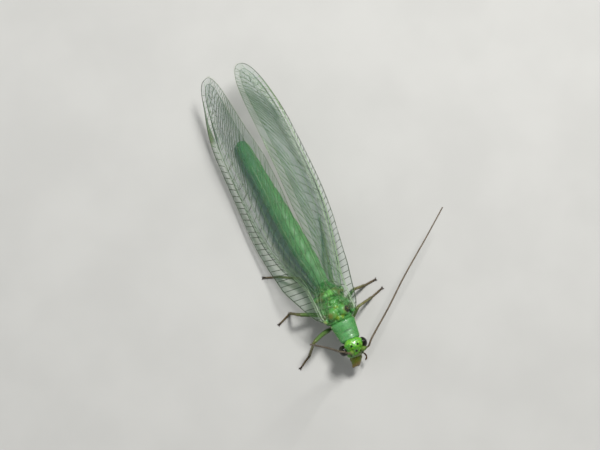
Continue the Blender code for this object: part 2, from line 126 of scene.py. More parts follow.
HINDWING_FROM, HINDWING_TO, HINDWING_APEX = 1.25, 16.65, 1.45
FRONT_ROUNDS_FROM, HIND_ROUNDS_FROM, HIND_FULLNESS = 12.0, 10.5, 1.65
FOLD_HALF_WIDTH = 0.35
COSTAL_FIELD = (
    (-0.36, 0.08), (0.0, 0.35), (1.0, 0.85), (2.4, 1.24),
    (4.0, 1.02), (6.0, 0.75), (8.5, 0.58), (12.0, 0.45),
)
FOREWING_WIDTH = (
    (-0.36, 0.20), (0.0, 0.50), (1.0, 0.95), (2.0, 1.80),
    (4.0, 3.05), (6.0, 3.90), (8.0, 4.40), (10.5, 4.60),
)
HINDWING_FRONT = ((1.25, 0.18), (2.2, -0.08), (3.5, -0.32), (5.0, -0.34), (8.0, -0.24), (12.0, -0.12))
HINDWING_HIND = (
    (1.25, 0.45), (2.0, 1.15), (3.5, 2.10), (5.5, 2.90),
    (7.5, 3.40), (9.0, 3.60), (10.5, 3.65),
)
WING_VEINS = {  # the radius vein's places as (along the body, out, height)
    "left": (
        (-0.33, 1.00, 2.46),
        (0.05, 1.06, 2.50),
        (1.0, 1.10, 2.42),
        (2.0, 1.24, 2.22),
        (3.0, 1.48, 1.92),
        (4.0, 1.76, 1.62),
        (6.0, 2.24, 1.20),
        (8.5, 2.52, 1.02),
        (12.5, 2.57, 0.95),
        (14.8, 2.46, 0.98),
        (17.4, 2.24, 1.05),
    ),
    "right": (
        (-0.33, 0.96, 2.44),
        (0.05, 1.04, 2.48),
        (1.0, 1.02, 2.36),
        (2.0, 1.06, 2.08),
        (3.0, 1.32, 1.74),
        (4.0, 1.66, 1.38),
        (6.0, 2.06, 1.00),
        (8.5, 2.14, 0.84),
        (12.5, 2.12, 0.82),
        (14.8, 1.98, 0.88),
        (17.4, 1.64, 1.00),
    ),
}
WING_SLOPES = {  # place along the wing; slopes of costal field, foot of the blade and ridge in degrees
    "left": (
        (0.0, 50.0, 20.0, 20.0),
        (1.0, 55.0, 34.0, 24.0),
        (2.0, 58.0, 57.0, 37.0),
        (3.0, 58.0, 67.0, 41.0),
        (4.0, 58.0, 72.0, 41.0),
        (8.0, 58.0, 74.0, 42.0),
        (10.5, 60.0, 74.0, 44.0),
        (12.5, 60.0, 70.0, 46.0),
        (17.0, 60.0, 58.0, 44.0),
    ),
    "right": (
        (0.0, 14.0, 24.0, 20.0),
        (1.0, 14.0, 40.0, 24.0),
        (2.0, 14.0, 69.0, 45.0),
        (3.0, 18.0, 76.0, 47.0),
        (4.0, 24.0, 80.0, 42.0),
        (8.0, 24.0, 80.0, 44.0),
        (10.5, 24.0, 80.0, 48.0),
        (12.5, 24.0, 80.0, 54.0),
        (17.0, 24.0, 80.0, 55.0),
    ),
}

# The left eye's solid ties these measures to the frame.
SHIFT = sum(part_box("eye_left"), Vector()) / 2 - Vector((HEAD_CENTRE.x + EYE_OUT, *EYE_PLACE)) * MM


def metres(axis, *places):
    """Places along X, Y or Z in the frame, from their millimetres."""
    return [place * MM + SHIFT["XYZ".index(axis)] for place in places]


# Numbers and lines


def smooth_table(stations):
    """A smooth function through (place, value) pairs, level with its ends outside them."""
    places = [place for place, value in stations]
    values = [value for place, value in stations]
    last = len(places) - 1

    def slope(i):
        before, after = max(i - 1, 0), min(i + 1, last)
        return (values[after] - values[before]) / (places[after] - places[before])

    def value_at(place):
        if place <= places[0]:
            return values[0]
        if place >= places[last]:
            return values[last]
        i = bisect.bisect_right(places, place) - 1
        span = places[i + 1] - places[i]
        t = (place - places[i]) / span
        mixed = values[i] + (values[i + 1] - values[i]) * t * t * (3 - 2 * t)
        return mixed + slope(i) * t * (1 - t) ** 2 * span + slope(i + 1) * t * t * (t - 1) * span

    return value_at


def reaches(points):
    """How far along the line through the points each of them lies."""
    reach = [0.0]
    for before, after in zip(points, points[1:]):
        reach.append(reach[-1] + (after - before).length)
    return reach


def smooth_line(points, count):
    """Evenly counted points on a smooth curve through the given ones."""
    points = [Vector(point) for point in points]
    reach = reaches(points)
    axes = [smooth_table(list(zip(reach, values))) for values in zip(*points)]
    steps = [reach[-1] * i / (count - 1) for i in range(count)]
    return [Vector([axis(step) for axis in axes]) for step in steps]


def ease(low, high, value):
    """0 below low, 1 above high and smooth between them."""
    t = min(max((value - low) / (high - low), 0.0), 1.0)
    return t * t * (3 - 2 * t)


# Shaping in millimetres


def only(piece):
    """Leaves one object selected and active, in object mode."""
    if bpy.context.mode != "OBJECT":
        bpy.ops.object.mode_set(mode="OBJECT")
    bpy.ops.object.select_all(action="DESELECT")
    if piece is not None:
        piece.select_set(True)
        bpy.context.view_layer.objects.active = piece
    return piece


def applied(piece):
    """The piece with its place, turn and size in its mesh."""
    only(piece)
    bpy.ops.object.transform_apply(location=True, rotation=True, scale=True)
    return piece


def joined(pieces):
    """All the pieces as one mesh."""
    for piece in pieces:
        applied(piece)
    only(pieces[0])
    for piece in pieces:
        piece.select_set(True)
    if len(pieces) > 1:
        bpy.ops.object.join()
    return bpy.context.object


def modified(piece, kind, **settings):
    """The piece with one modifier added and applied."""
    only(piece)
    modifier = piece.modifiers.new(kind.lower(), kind)
    for key, value in settings.items():
        setattr(modifier, key, value)
    bpy.ops.object.modifier_apply(modifier=modifier.name)
    return piece


def degrees(*angles):
    """The angles in radians."""
    return [math.radians(angle) for angle in angles]


def ball(centre, radii, turn=(0, 0, 0), segments=24, rings=14):
    """A stretched ball for building up a body, turned by degrees."""
    only(None)
    bpy.ops.mesh.primitive_uv_sphere_add(
        segments=segments,
        ring_count=rings,
        radius=1,
        location=centre,
        rotation=degrees(*turn),
        scale=radii,
    )
    return applied(bpy.context.object)


def balls(*rows):
    """A ball for each row of its centre, radii and turn."""
    return [ball(*row) for row in rows]


def outward(piece, merge=0.0):
    """The piece with its faces turned outward and points closer than merge made one."""
    only(piece)
    bpy.ops.object.mode_set(mode="EDIT")
    bpy.ops.mesh.select_all(action="SELECT")
    if merge:
        bpy.ops.mesh.remove_doubles(threshold=merge)
    bpy.ops.mesh.normals_make_consistent(inside=False)
    bpy.ops.object.mode_set(mode="OBJECT")
    return piece


def put_in_order():
    """Sorts the mesh in edit mode by its distance from a place off every plane of symmetry.

    Extrude and bevel leave their faces in another order each time, and hairs are sown face by face.
    """
    cursor = bpy.context.scene.cursor
    cursor.location = (3.1, -17.3, 7.9)
    bpy.ops.mesh.select_all(action="SELECT")
    bpy.ops.mesh.sort_elements(type="CURSOR_DISTANCE", elements={"VERT", "EDGE", "FACE"})
    cursor.location = (0, 0, 0)


def drawn_out(stations, sides=28):
    """A closed body drawn out along Y from a filled ring, moved and resized to each station.

    A station is its centre, half width and half height.
    """
    only(None)
    centre, wide, tall = stations[0]
    bpy.ops.mesh.primitive_circle_add(
        vertices=sides, radius=1, fill_type="NGON", location=centre, rotation=(math.pi / 2, 0, 0)
    )
    piece = bpy.context.object
    piece.scale = (wide, tall, 1)
    applied(piece)
    bpy.ops.object.mode_set(mode="EDIT")
    bpy.ops.mesh.select_mode(type="FACE")
    bpy.ops.mesh.select_all(action="SELECT")
    for before, after in zip(stations, stations[1:]):
        step = Vector(after[0]) - Vector(before[0])
        bpy.ops.mesh.extrude_region_move(TRANSFORM_OT_translate={"value": step})
        ratio = (after[1] / before[1], 1, after[2] / before[2])
        bpy.ops.transform.resize(value=ratio, center_override=after[0])
    put_in_order()
    return outward(piece)


def one_flesh(pieces, voxel, smoothing):
    """The pieces melted into one skin, with soft creases where they meet."""
    piece = joined(pieces)
    modified(piece, "REMESH", mode="VOXEL", voxel_size=voxel)
    return modified(piece, "SMOOTH", factor=0.5, iterations=smoothing)


def linked(data):
    """A new object in the scene with that mesh or curve."""
    piece = bpy.data.objects.new(data.name, data)
    bpy.context.scene.collection.objects.link(piece)
    return only(piece)


def marked(piece, name, values):
    """The piece with one number on each point, for its material to read."""
    layer = piece.data.attributes.new(name, "FLOAT", "POINT")
    layer.data.foreach_set("value", values)
    return piece


def tubes(strokes, resolution=2):
    """A mesh of closed tubes, one for each stroke of (place, radius) pairs."""
    curve = bpy.data.curves.new("strokes", "CURVE")
    curve.dimensions = "3D"
    curve.bevel_depth = 1.0
    curve.bevel_resolution = resolution
    curve.use_fill_caps = True
    for stroke in strokes:
        spline = curve.splines.new("POLY")
        spline.points.add(len(stroke) - 1)
        for point, (place, radius) in zip(spline.points, stroke):
            point.co = (*place, 1)
            point.radius = radius
    linked(curve)
    bpy.ops.object.convert(target="MESH")
    return outward(bpy.context.object, 1e-5)


def spikes(hairs):
    """A mesh of fine closed hairs: (root, tip, radius, place on the skin's unwrap) for each."""
    roots, tips, radii, places = (np.array(column) for column in zip(*hairs))
    ahead = tips - roots
    ahead /= np.linalg.norm(ahead, axis=1)[:, None]
    level = np.where(np.abs(ahead[:, 2:]) > 0.9, [[1.0, 0, 0]], [[0, 0, 1.0]])
    across = np.cross(ahead, level)
    across /= np.linalg.norm(across, axis=1)[:, None]
    up = np.cross(across, ahead)
    corners = []
    for turn in (0, 2 * math.pi / 3, 4 * math.pi / 3):
        corners.append(roots + radii[:, None] * (across * math.cos(turn) + up * math.sin(turn)))
    points = np.stack([*corners, tips], axis=1).reshape(-1, 3)
    sides = np.array([(0, 1, 3), (1, 2, 3), (2, 0, 3), (0, 2, 1)])
    faces = (np.arange(len(hairs))[:, None, None] * 4 + sides).reshape(-1, 3)
    mesh = bpy.data.meshes.new("hairs")
    mesh.from_pydata(points.tolist(), [], faces.tolist())
    patch = np.array([(0, 0), (0.003, 0), (0, 0.003), (0.003, 0.003)])
    corner_places = (places[:, None, :] + patch).reshape(-1, 2)[faces.ravel()]
    layer = mesh.uv_layers.new(name="OFBake")
    layer.data.foreach_set("uv", corner_places.astype(np.float32).ravel())
    return outward(linked(mesh))


def seat(piece, name, slot, material, *nodes, sharp=None):
    """Brings a shaped piece to its place in metres, finishes it and hangs it on the body."""
    applied(piece)
    piece.name = piece.data.name = name
    piece.scale = (MM,) * 3
    piece.location = SHIFT
    applied(piece)
    if sharp is None:
        bpy.ops.object.shade_smooth()
    else:
        bpy.ops.object.shade_smooth_by_angle(angle=math.radians(sharp))
    piece.data.materials.clear()
    piece.data.materials.append(material)
    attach(piece, "root")
    if nodes:
        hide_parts(*nodes)
    return piece


# Materials


class Value:
    """A socket in a material; sums with it add Math nodes."""

    def __init__(self, finish, socket):
        self.finish, self.socket = finish, socket

    def math(self, operation, *values):
        """The Value of a Math node fed with those values."""
        return self.finish.node("Math", {"operation": operation}, dict(enumerate(values)))

    def __add__(self, other):
        return self.math("ADD", self, other)

    def __sub__(self, other):
        return self.math("SUBTRACT", self, other)

    def __rsub__(self, other):
        return self.math("SUBTRACT", other, self)

    def __mul__(self, other):
        return self.math("MULTIPLY", self, other)

    __radd__, __rmul__ = __add__, __mul__

    def between(self, low, high, to_low=0.0, to_high=1.0):
        """Smoothly from to_low to to_high as the value runs from low to high."""
        values = {0: self, 1: low, 2: high, 3: to_low, 4: to_high}
        return self.finish.node("MapRange", {"interpolation_type": "SMOOTHSTEP"}, values)


class Finish:
    """A Principled material and the nodes that vary it."""

    def __init__(self, name, **constants):
        self.material = bpy.data.materials.new(name)
        self.material.use_nodes = True
        self.tree = self.material.node_tree
        self.shader = self.tree.nodes["Principled BSDF"]
        for key, value in constants.items():
            self.shader.inputs[key.replace("_", " ")].default_value = value

    def node(self, kind, settings=None, values=None, output=0):
        """Any shader node, set, fed and returned as the Value of one output."""
        made = self.tree.nodes.new("ShaderNode" + kind)
        for key, value in (settings or {}).items():
            setattr(made, key, value)
        for key, value in (values or {}).items():
            self.feed(made.inputs[key], value)
        return Value(self, made.outputs[output])

    def feed(self, socket, value):
        """Links a Value to the socket, or sets it to a plain number or colour."""
        if isinstance(value, Value):
            self.tree.links.new(value.socket, socket)
        else:
            socket.default_value = value

    def set(self, **values):
        """Feeds the shader's sockets, named with underscores."""
        for key, value in values.items():
            self.feed(self.shader.inputs[key.replace("_", " ")], value)
        return self

    def place(self):
        """The place in metres, which is the same for every piece."""
        return self.node("TexCoord", output="Object")

    def axis(self, name):
        """The place along X, Y or Z."""
        return self.node("SeparateXYZ", values={0: self.place()}, output=name)

    def weighed(self, counts):
        """The place with each axis counted more or less."""
        return self.node("VectorMath", {"operation": "MULTIPLY"}, {0: self.place(), 1: counts})

    def noise(self, size, detail, stretch=(1, 1, 1), distortion=0.0):
        """Noise whose features are about size millimetres wide."""
        values = {"Vector": self.weighed(stretch), "Scale": 1 / (size * MM), "Detail": detail}
        return self.node("TexNoise", values={**values, "Distortion": distortion}, output="Fac")

    def cells(self, size):
        """Distance from the middle of the nearest of many cells about size millimetres wide."""
        values = {"Vector": self.place(), "Scale": 1 / (size * MM)}
        return self.node("TexVoronoi", values=values, output="Distance")

    def near(self, centre, radius, soft, counts=(1, 1, 1)):
        """1 within radius millimetres of a place, 0 beyond the soft edge; counts weighs each axis."""
        spot = (Vector(centre) * MM + SHIFT) * Vector(counts)
        ends = {0: self.weighed(counts), 1: tuple(spot)}
        span = self.node("VectorMath", {"operation": "DISTANCE"}, ends, output="Value")
        return span.between(radius * MM, (radius + soft) * MM, 1.0, 0.0)

    def mix(self, factor, first, second):
        """From the first colour at factor 0 to the second at 1."""
        return self.node("Mix", {"data_type": "RGBA"}, {0: factor, 6: first, 7: second}, output=2)

    def trait(self, name):
        """The number that marked() left on the piece's points."""
        return self.node("Attribute", {"attribute_name": name}, output="Fac")

    def bump(self, height, strength, depth):
        """A relief depth millimetres deep."""
        values = {"Height": height, "Strength": strength, "Distance": depth * MM}
        return self.node("Bump", values=values)

    def grained(self, skin, wear, smooth, rough, grain, strength=0.5, depth=0.01, **more):
        """The material in that colour, smooth to rough where wear varies, with a fine grain."""
        relief = self.bump(self.noise(grain, detail=2), strength, depth)
        self.set(Base_Color=skin, Roughness=wear.between(0.3, 0.7, smooth, rough), Normal=relief, **more)
        return self.material


def rgb(*display):
    """A linear colour from display values of 0 to 255."""
    shares = [value / 255 for value in display]
    return (*(x / 12.92 if x <= 0.04045 else ((x + 0.055) / 1.055) ** 2.4 for x in shares), 1.0)


def shade(colour, factor=1.0):
    """A colour made lighter or darker, with full alpha."""
    return (*(min(channel * factor, 1.0) for channel in colour[:3]), 1.0)


# Sizes and colours that a user may change


def length(name, description, millimetres):
    return bpy.props.FloatProperty(
        name=name,
        description=description,
        default=millimetres * MM,
        min=0,
        soft_max=10 * millimetres * MM,
        precision=6,
        subtype="DISTANCE",
        unit="LENGTH",
    )


def colour(name, description, red, green, blue):
    return bpy.props.FloatVectorProperty(
        name=name,
        description=description,
        default=rgb(red, green, blue)[:3],
        min=0,
        max=1,
        size=3,
        subtype="COLOR",
    )


def amount(name, description, value, highest=1.0, subtype="NONE"):
    return bpy.props.FloatProperty(
        name=name, description=description, default=value, min=0, max=highest, subtype=subtype
    )


class BodySettings(bpy.types.PropertyGroup):
    """Head, thorax and abdomen"""

    head_green: colour("Head", "Colour of the crown and cheeks", 80, 160, 34)
    thorax_green: colour("Thorax", "Colour of the thorax's plates", 64, 136, 62)
    # Painted light: the lighter green of the thorax's top, as if lit from above.
    lit_back_green: colour("Back", "Colour along the middle of the back", 82, 156, 70)
    side_olive: colour("Wing roots", "Colour of the soft skin round the wing roots", 118, 128, 50)
    abdomen_green: colour("Abdomen", "Colour of the abdomen", 94, 156, 98)
    face_olive: colour("Face", "Colour of clypeus and upper lip", 84, 110, 16)
    eye_colour: colour("Eyes", "Colour of the compound eyes", 14, 18, 10)
    hair_colour: colour("Hairs", "Colour of the fine hairs on the body", 196, 204, 160)
    hair_length: length("Hair length", "Length of the fine hairs on the body", 0.13)


class LimbSettings(bpy.types.PropertyGroup):
    """Legs and feelers"""

    thigh_width: length("Thigh", "Greatest thickness of a thigh", 0.27)
    shin_width: length("Shin", "Thickness of a shin", 0.16)
    foot_width: length("Foot", "Thickness of a foot", 0.12)
    feeler_width: length("Feeler", "Thickness of a feeler near its base", 0.125)
    ring_length: length("Feeler ring", "Length of one ring of a feeler", 0.105)
    leg_green: colour("Leg", "Colour of coxae and thighs", 84, 116, 58)
    shin_brown: colour("Shin", "Colour of the lower shins", 102, 102, 66)
    foot_brown: colour("Foot", "Colour of the feet", 98, 84, 54)
    feeler_brown: colour("Feeler", "Colour of the feelers", 112, 98, 78)


class WingSettings(bpy.types.PropertyGroup):
    """Wing films, veins and fringe"""

    film_width: length("Film", "Thickness of the wing film", 0.012)
    film_opacity: amount("Film opacity", "Share of the light that the film stops", 0.11, subtype="FACTOR")
    film_colour: colour("Film", "Colour of the film", 74, 130, 86)
    stigma_colour: colour("Wing mark", "Colour of the cloudy mark near the tip", 116, 122, 40)
    vein_green: colour("Veins", "Colour of the fine veins", 102, 146, 92)
    vein_dark: colour("Cross-veins", "Colour of the dark cross-veins", 26, 30, 20)
    costal_spacing: length("Costal spacing", "Distance between cross-veins of the costal field", 0.43)
    fringe_length: length("Fringe", "Length of the hairs on the wing's edge", 0.12)


class StageSettings(bpy.types.PropertyGroup):
    """Floor, light and camera"""

    floor_colour: colour("Floor", "Colour of the floor", 193, 193, 190)
    key_power: amount("Main light", "Power of the main soft light", 0.25, 100.0)
    fill_power: amount("Fill light", "Power of the wide fill light", 0.06, 100.0)
    sky_strength: amount("Surround", "Brightness of the even surround", 0.22, 10.0)
    lens: amount("Lens", "Focal length of the camera in millimetres", 99.76, 500.0)


SETTINGS = {
    "lacewing_body": BodySettings,
    "lacewing_limbs": LimbSettings,
    "lacewing_wings": WingSettings,
    "lacewing_stage": StageSettings,
}


# Finishes

HEAD_SPOTS = (  # place, radius, and how much of the height counts
    (-0.17, -2.31, 2.42, 0.056, 0.0),
    (0.23, -2.33, 2.42, 0.056, 0.0),
    (0.02, -2.66, 2.25, 0.066, 0.45),
    (-0.35, -2.76, 1.85, 0.055, 0.3),
    (0.36, -2.83, 1.85, 0.055, 0.3),
    (-0.46, -2.58, 1.55, 0.09, 0.6),
    (0.56, -2.58, 1.55, 0.09, 0.6),
)
THORAX_PATCHES = (  # place, reach, softness, colour and how much of it shows, on both sides
    ((0.50, -0.12, 2.60), 0.10, 0.20, (104, 104, 30), 0.9),
    ((0.20, -0.40, 2.60), 0.08, 0.14, (126, 160, 30), 0.8),
    ((0.10, 0.24, 2.72), 0.04, 0.10, (130, 156, 36), 0.7),
    # Painted shade: this dark green and the one at 0.98 darken hollows between the back plates.
    ((0.28, 0.42, 2.65), 0.04, 0.12, (52, 78, 28), 0.6),
    ((0.92, -0.02, 2.45), 0.12, 0.16, (60, 62, 24), 0.9),
    ((0.72, 0.98, 2.45), 0.16, 0.20, (110, 108, 48), 0.85),
    # Painted shade in a hollow between back plates.
    ((0.18, 0.98, 2.58), 0.05, 0.10, (58, 96, 34), 0.7),
    # Painted highlight: bright green where the hind thorax glints.
    ((0.14, 1.26, 2.60), 0.14, 0.18, (118, 196, 92), 0.8),
    ((0.44, 1.36, 2.45), 0.10, 0.18, (108, 118, 44), 0.8),
)
CORNER_PLATE = ((-0.98, -0.34, 2.42), 0.09, 0.10, (160, 172, 104), 0.6)
PIT_EDGE = ((0.58, -0.11, 2.58), 0.20, 0.06, (12, 16, 6), 0.95)
PIT_MIDDLE = ((0.57, -0.08, 2.58), 0.06, 0.06, (168, 148, 84), 1.0)


def skin_finish(name, base, back, side, lit_top_low, lit_top_high, gloss=0.45, grain=0.016):
    """Waxy skin, mottled and finely grained, painted lighter on top: back from lit_top_high upward."""
    finish = Finish(name, Coat_Roughness=0.12, Specular_IOR_Level=0.5)
    mottle = finish.noise(0.34, detail=4)
    fine = finish.noise(0.05, detail=2)
    height = finish.axis("Z") + (mottle - 0.5) * (0.5 * MM)
    # Painted light: the lighter back colour towards the top, as if lit from above.
    skin = finish.mix(height.between(*metres("Z", lit_top_low, lit_top_high)), base, back)
    skin = finish.mix(mottle.between(0.52, 0.70) * 0.45, skin, side)
    skin = finish.mix(fine.between(0.35, 0.8) * 0.25, skin, shade(base, 0.45))
    relief = finish.cells(0.055) * 0.5 + finish.noise(0.15, detail=3) * 1.4
    finish.set(
        Normal=finish.bump(relief, 0.55, grain),
        Roughness=mottle.between(0.3, 0.75, 0.46 - gloss * 0.3, 0.6 - gloss * 0.25),
        Coat_Weight=fine.between(0.2, 0.8, gloss * 0.6, gloss * 1.3),
    )
    return finish, skin


def head_finish(settings):
    """Bright green with small dark spots on crown and brow, olive on the face."""
    # Painted light: back is a lighter copy of the head's green, for the crown as if lit from above.
    base, back = shade(settings.head_green), shade(settings.head_green, 1.12)
    olive = shade(settings.face_olive)
    finish, skin = skin_finish("head_skin", base, back, rgb(120, 168, 36), 2.0, 2.5, 0.45, 0.036)
    blotches = finish.noise(0.16, detail=3)
    skin = finish.mix(blotches.between(0.52, 0.66) * 0.6, skin, rgb(128, 190, 20))
    skin = finish.mix(blotches.between(0.36, 0.46, 1.0, 0.0) * 0.6, skin, rgb(38, 128, 56))
    lower = finish.axis("Z").between(*metres("Z", 1.22, 1.62), 1.0, 0.0)
    skin = finish.mix(lower, skin, olive)
    skin = finish.mix(finish.near((0.16, -3.02, 1.72), 0.40, 0.12) * 0.9, skin, olive)
    dark = 0.0
    for x, y, z, radius, flatness in HEAD_SPOTS:
        spot = finish.near((x, y, z), radius, 0.018, (1, 1, flatness))
        dark = spot.math("MAXIMUM", dark, spot)
    skin = finish.mix(dark, skin, rgb(4, 14, 4))
    wet = finish.noise(0.12, detail=3).between(0.42, 0.62, 0.0, 0.5)
    finish.set(Coat_Weight=wet * (1.0 - dark), Roughness=dark.between(0.0, 1.0, 0.36, 0.9))
    return finish.set(Base_Color=skin).material


def thorax_finish(settings):
    """Green plates with olive patches, painted shade in hollows and one dark pit at the left wing's root.
    """
    colours = [shade(c) for c in (settings.thorax_green, settings.lit_back_green, settings.side_olive)]
    finish, skin = skin_finish("thorax_skin", *colours, 2.2, 2.95, 0.3, 0.026)
    patches = [
        ((side * x, y, z), *looks) for side in SIDES.values() for (x, y, z), *looks in THORAX_PATCHES
    ]
    # Among these patches are painted shade in hollows and a painted highlight on the hind thorax.
    for place, reach, soft, tone, most in (*patches, CORNER_PLATE, PIT_EDGE, PIT_MIDDLE):
        skin = finish.mix(finish.near(place, reach, soft) * most, skin, rgb(*tone))
    return finish.set(Base_Color=skin).material


def pronotum_finish(settings):
    """Green with darker wrinkles, and painted shade in the cross furrows."""
    # Painted light: back is the lighter green of the top, as if lit from above.
    base, back, side = shade(settings.thorax_green), rgb(84, 158, 88), rgb(74, 138, 80)
    finish, skin = skin_finish("pronotum_skin", base, back, side, 2.15, 2.55, 0.3, 0.024)
    wrinkles = finish.noise(0.24, detail=4, stretch=(0.45, 1.5, 1), distortion=0.6)
    skin = finish.mix(wrinkles.between(0.5, 0.68) * 0.5, skin, rgb(34, 92, 44))
    # Painted shade in the two cross furrows.
    furrow_shade = finish.near((0.02, -1.30, 2.45), 0.02, 0.09, (0.15, 1, 0.6))
    furrow_shade = furrow_shade + finish.near((0.02, -1.84, 2.40), 0.03, 0.05, (0.35, 1, 0))
    skin = finish.mix(furrow_shade * 0.55, skin, rgb(30, 76, 36))
    return finish.set(Base_Color=skin).material


def abdomen_finish(settings):
    """Green, painted paler above as if lit from above, with a darker band at each fold."""
    # Painted light: back is the paler green of the top, as if lit from above.
    base, back, side = shade(settings.abdomen_green), rgb(112, 180, 112), rgb(110, 168, 104)
    finish, skin = skin_finish("abdomen_skin", base, back, side, 0.8, 1.9, 0.06)
    skin = finish.mix(finish.trait("fold") * 0.35, skin, rgb(58, 112, 58))
    return finish.set(Base_Color=skin).material


def palp_finish():
    """Horny brown in two close tones."""
    finish = Finish("palp_brown")
    mottle = finish.noise(0.16, detail=4)
    skin = finish.mix(mottle.between(0.3, 0.7), rgb(86, 60, 30), rgb(38, 26, 14))
    return finish.grained(skin, mottle, 0.3, 0.45, grain=0.048)


def feeler_finish(settings):
    """Grey-brown rings, olive green at the first joints."""
    finish = Finish("feeler_brown")
    mottle = finish.noise(0.3, detail=4)
    skin = finish.mix(mottle.between(0.3, 0.7), shade(settings.feeler_brown), rgb(82, 70, 54))
    root = finish.near((HEAD_CENTRE.x, -2.66, 2.25), 0.45, 0.30)
    skin = finish.mix(root * 0.9, skin, rgb(96, 134, 44))
    return finish.grained(skin, mottle, 0.42, 0.57, grain=0.09)


def mouth_finish(settings):
    """Olive clypeus, orange-brown at the lip and wet and dark at the jaws."""
    finish = Finish("face_olive", Coat_Roughness=0.08, Specular_IOR_Level=0.3)
    mottle = finish.noise(0.2, detail=4)
    place = finish.axis("Y") + (mottle - 0.5) * (0.1 * MM)
    skin = finish.mix(mottle.between(0.3, 0.7), shade(settings.face_olive), rgb(104, 104, 16))
    lip = place.between(*metres("Y", -3.34, -3.14), 1.0, 0.0)
    skin = finish.mix(lip * 0.7, skin, rgb(134, 100, 36))
    tips = place.between(*metres("Y", -3.44, -3.38), 1.0, 0.0)
    skin = finish.mix(tips * 0.95, skin, rgb(30, 18, 10))
    wet = tips.between(0.0, 1.0, 0.15, 1.0)
    return finish.grained(skin, mottle, 0.3, 0.45, grain=0.06, Coat_Weight=wet)


def eye_finish(settings):
    """Glossy dark facets with a faint bronze gleam."""
    finish = Finish("eye_gloss", Coat_Weight=0.35, Coat_Roughness=0.05, Specular_IOR_Level=0.2)
    bands = finish.noise(0.5, detail=1, stretch=(1, 1, 2.5))
    finish.set(
        Base_Color=finish.mix(bands.between(0.45, 0.7), shade(settings.eye_colour), rgb(44, 40, 16)),
        Metallic=bands.between(0.4, 0.75, 0.0, 0.3),
        Roughness=bands.between(0.3, 0.7, 0.16, 0.28),
    )
    return finish.material


def leg_finish(settings, name, pale=0.0):
    """Green at the thigh, browner down the leg, with a share of pale green: painted light of wing film
    above it.
    """
    finish = Finish(name)
    along = finish.trait("along")
    mottle = finish.noise(0.25, detail=3)
    reach = along + (mottle - 0.5) * 0.25
    skin = finish.mix(reach.between(0.75, 1.35), shade(settings.leg_green), rgb(132, 132, 76))
    skin = finish.mix(reach.between(1.35, 1.95), skin, shade(settings.shin_brown))
    skin = finish.mix(reach.between(1.95, 2.35), skin, shade(settings.foot_brown))
    skin = finish.mix(reach.between(2.7, 3.0), skin, rgb(52, 38, 22))
    knee = along.math("ABSOLUTE", along - 1.0).between(0.0, 0.06, 0.5, 0.0)
    skin = finish.mix(knee, skin, rgb(96, 92, 44))
    # Painted light: pale green standing for the lit wing film seen over the leg.
    skin = finish.mix(pale, skin, rgb(170, 188, 146))
    return finish.grained(skin, mottle, 0.38, 0.52, grain=0.05, depth=0.008)


def film_finish(settings):
    """A clear green-tinged film, cloudy at the wing mark."""
    film = {"Thin_Film_Thickness": 345.0, "Thin_Film_IOR": 1.6}
    finish = Finish("wing_film", IOR=1.7, Specular_IOR_Level=0.8, **film)
    mark = finish.trait("mark")
    wave = finish.noise(0.9, detail=2)
    tint = finish.mix(wave.between(0.35, 0.7), shade(settings.film_colour), rgb(104, 132, 96))
    opacity = wave.between(0.3, 0.7, settings.film_opacity * 0.7, settings.film_opacity * 1.3)
    finish.set(
        Base_Color=finish.mix(mark * 0.85, tint, shade(settings.stigma_colour)),
        Alpha=opacity + mark * 0.45,
        Roughness=wave.between(0.3, 0.7, 0.17, 0.27),
        Normal=finish.bump(finish.noise(0.38, detail=2, distortion=0.4), 0.6, 0.08),
    )
    return finish.material


def vein_finish(settings):
    """Pale green veins and near-black cross-veins; the paleness is partly their own colour, partly a
    painted glint.
    """
    finish = Finish("wing_vein", Specular_IOR_Level=0.7)
    dark = finish.trait("dark")
    mottle = finish.noise(0.6, detail=2)
    skin = finish.mix(mottle.between(0.35, 0.7), shade(settings.vein_green), rgb(88, 122, 74))
    # The pale green of the long veins is partly their own colour and partly a painted glint of light.
    skin = finish.mix(dark.between(0.0, 0.2, 0.7, 0.0), skin, rgb(158, 184, 144))
    skin = finish.mix(dark, skin, shade(settings.vein_dark))
    return finish.grained(skin, mottle, 0.16, 0.3, grain=0.05, strength=0.4, depth=0.004)


def hair_finish(name, base):
    """Hairs of one colour in two close tones, made on the first use of the name."""
    if name in bpy.data.materials:
        return bpy.data.materials[name]
    finish = Finish(name)
    tone = finish.noise(0.4, detail=2)
    skin = finish.mix(tone.between(0.3, 0.7), base, shade(base, 1.3))
    return finish.set(Base_Color=skin, Roughness=tone.between(0.3, 0.7, 0.4, 0.6)).material


# Wings


costal_field = smooth_table(COSTAL_FIELD)
forewing_width = smooth_table(FOREWING_WIDTH)
hindwing_front_line = smooth_table(HINDWING_FRONT)
hindwing_hind_line = smooth_table(HINDWING_HIND)


def rounded(line, start, end, apex, fullness=2.0):
    """An edge that follows a line, then rounds like a quarter ellipse to the wing's apex."""
    edge = line(start)

    def at(a):
        if a <= start:
            return line(a)
        t = min((a - start) / (end - start), 1.0)
        return apex + (edge - apex) * math.sqrt(1 - t**fullness)

    return at


forewing_front = rounded(lambda a: -costal_field(a), FRONT_ROUNDS_FROM, FOREWING_LENGTH, FOREWING_APEX)
forewing_hind = rounded(forewing_width, HIND_ROUNDS_FROM, FOREWING_LENGTH, FOREWING_APEX, HIND_FULLNESS)
hindwing_front = rounded(hindwing_front_line, FRONT_ROUNDS_FROM, HINDWING_TO, HINDWING_APEX)
hindwing_hind = rounded(hindwing_hind_line, HIND_ROUNDS_FROM, HINDWING_TO, HINDWING_APEX, HIND_FULLNESS)


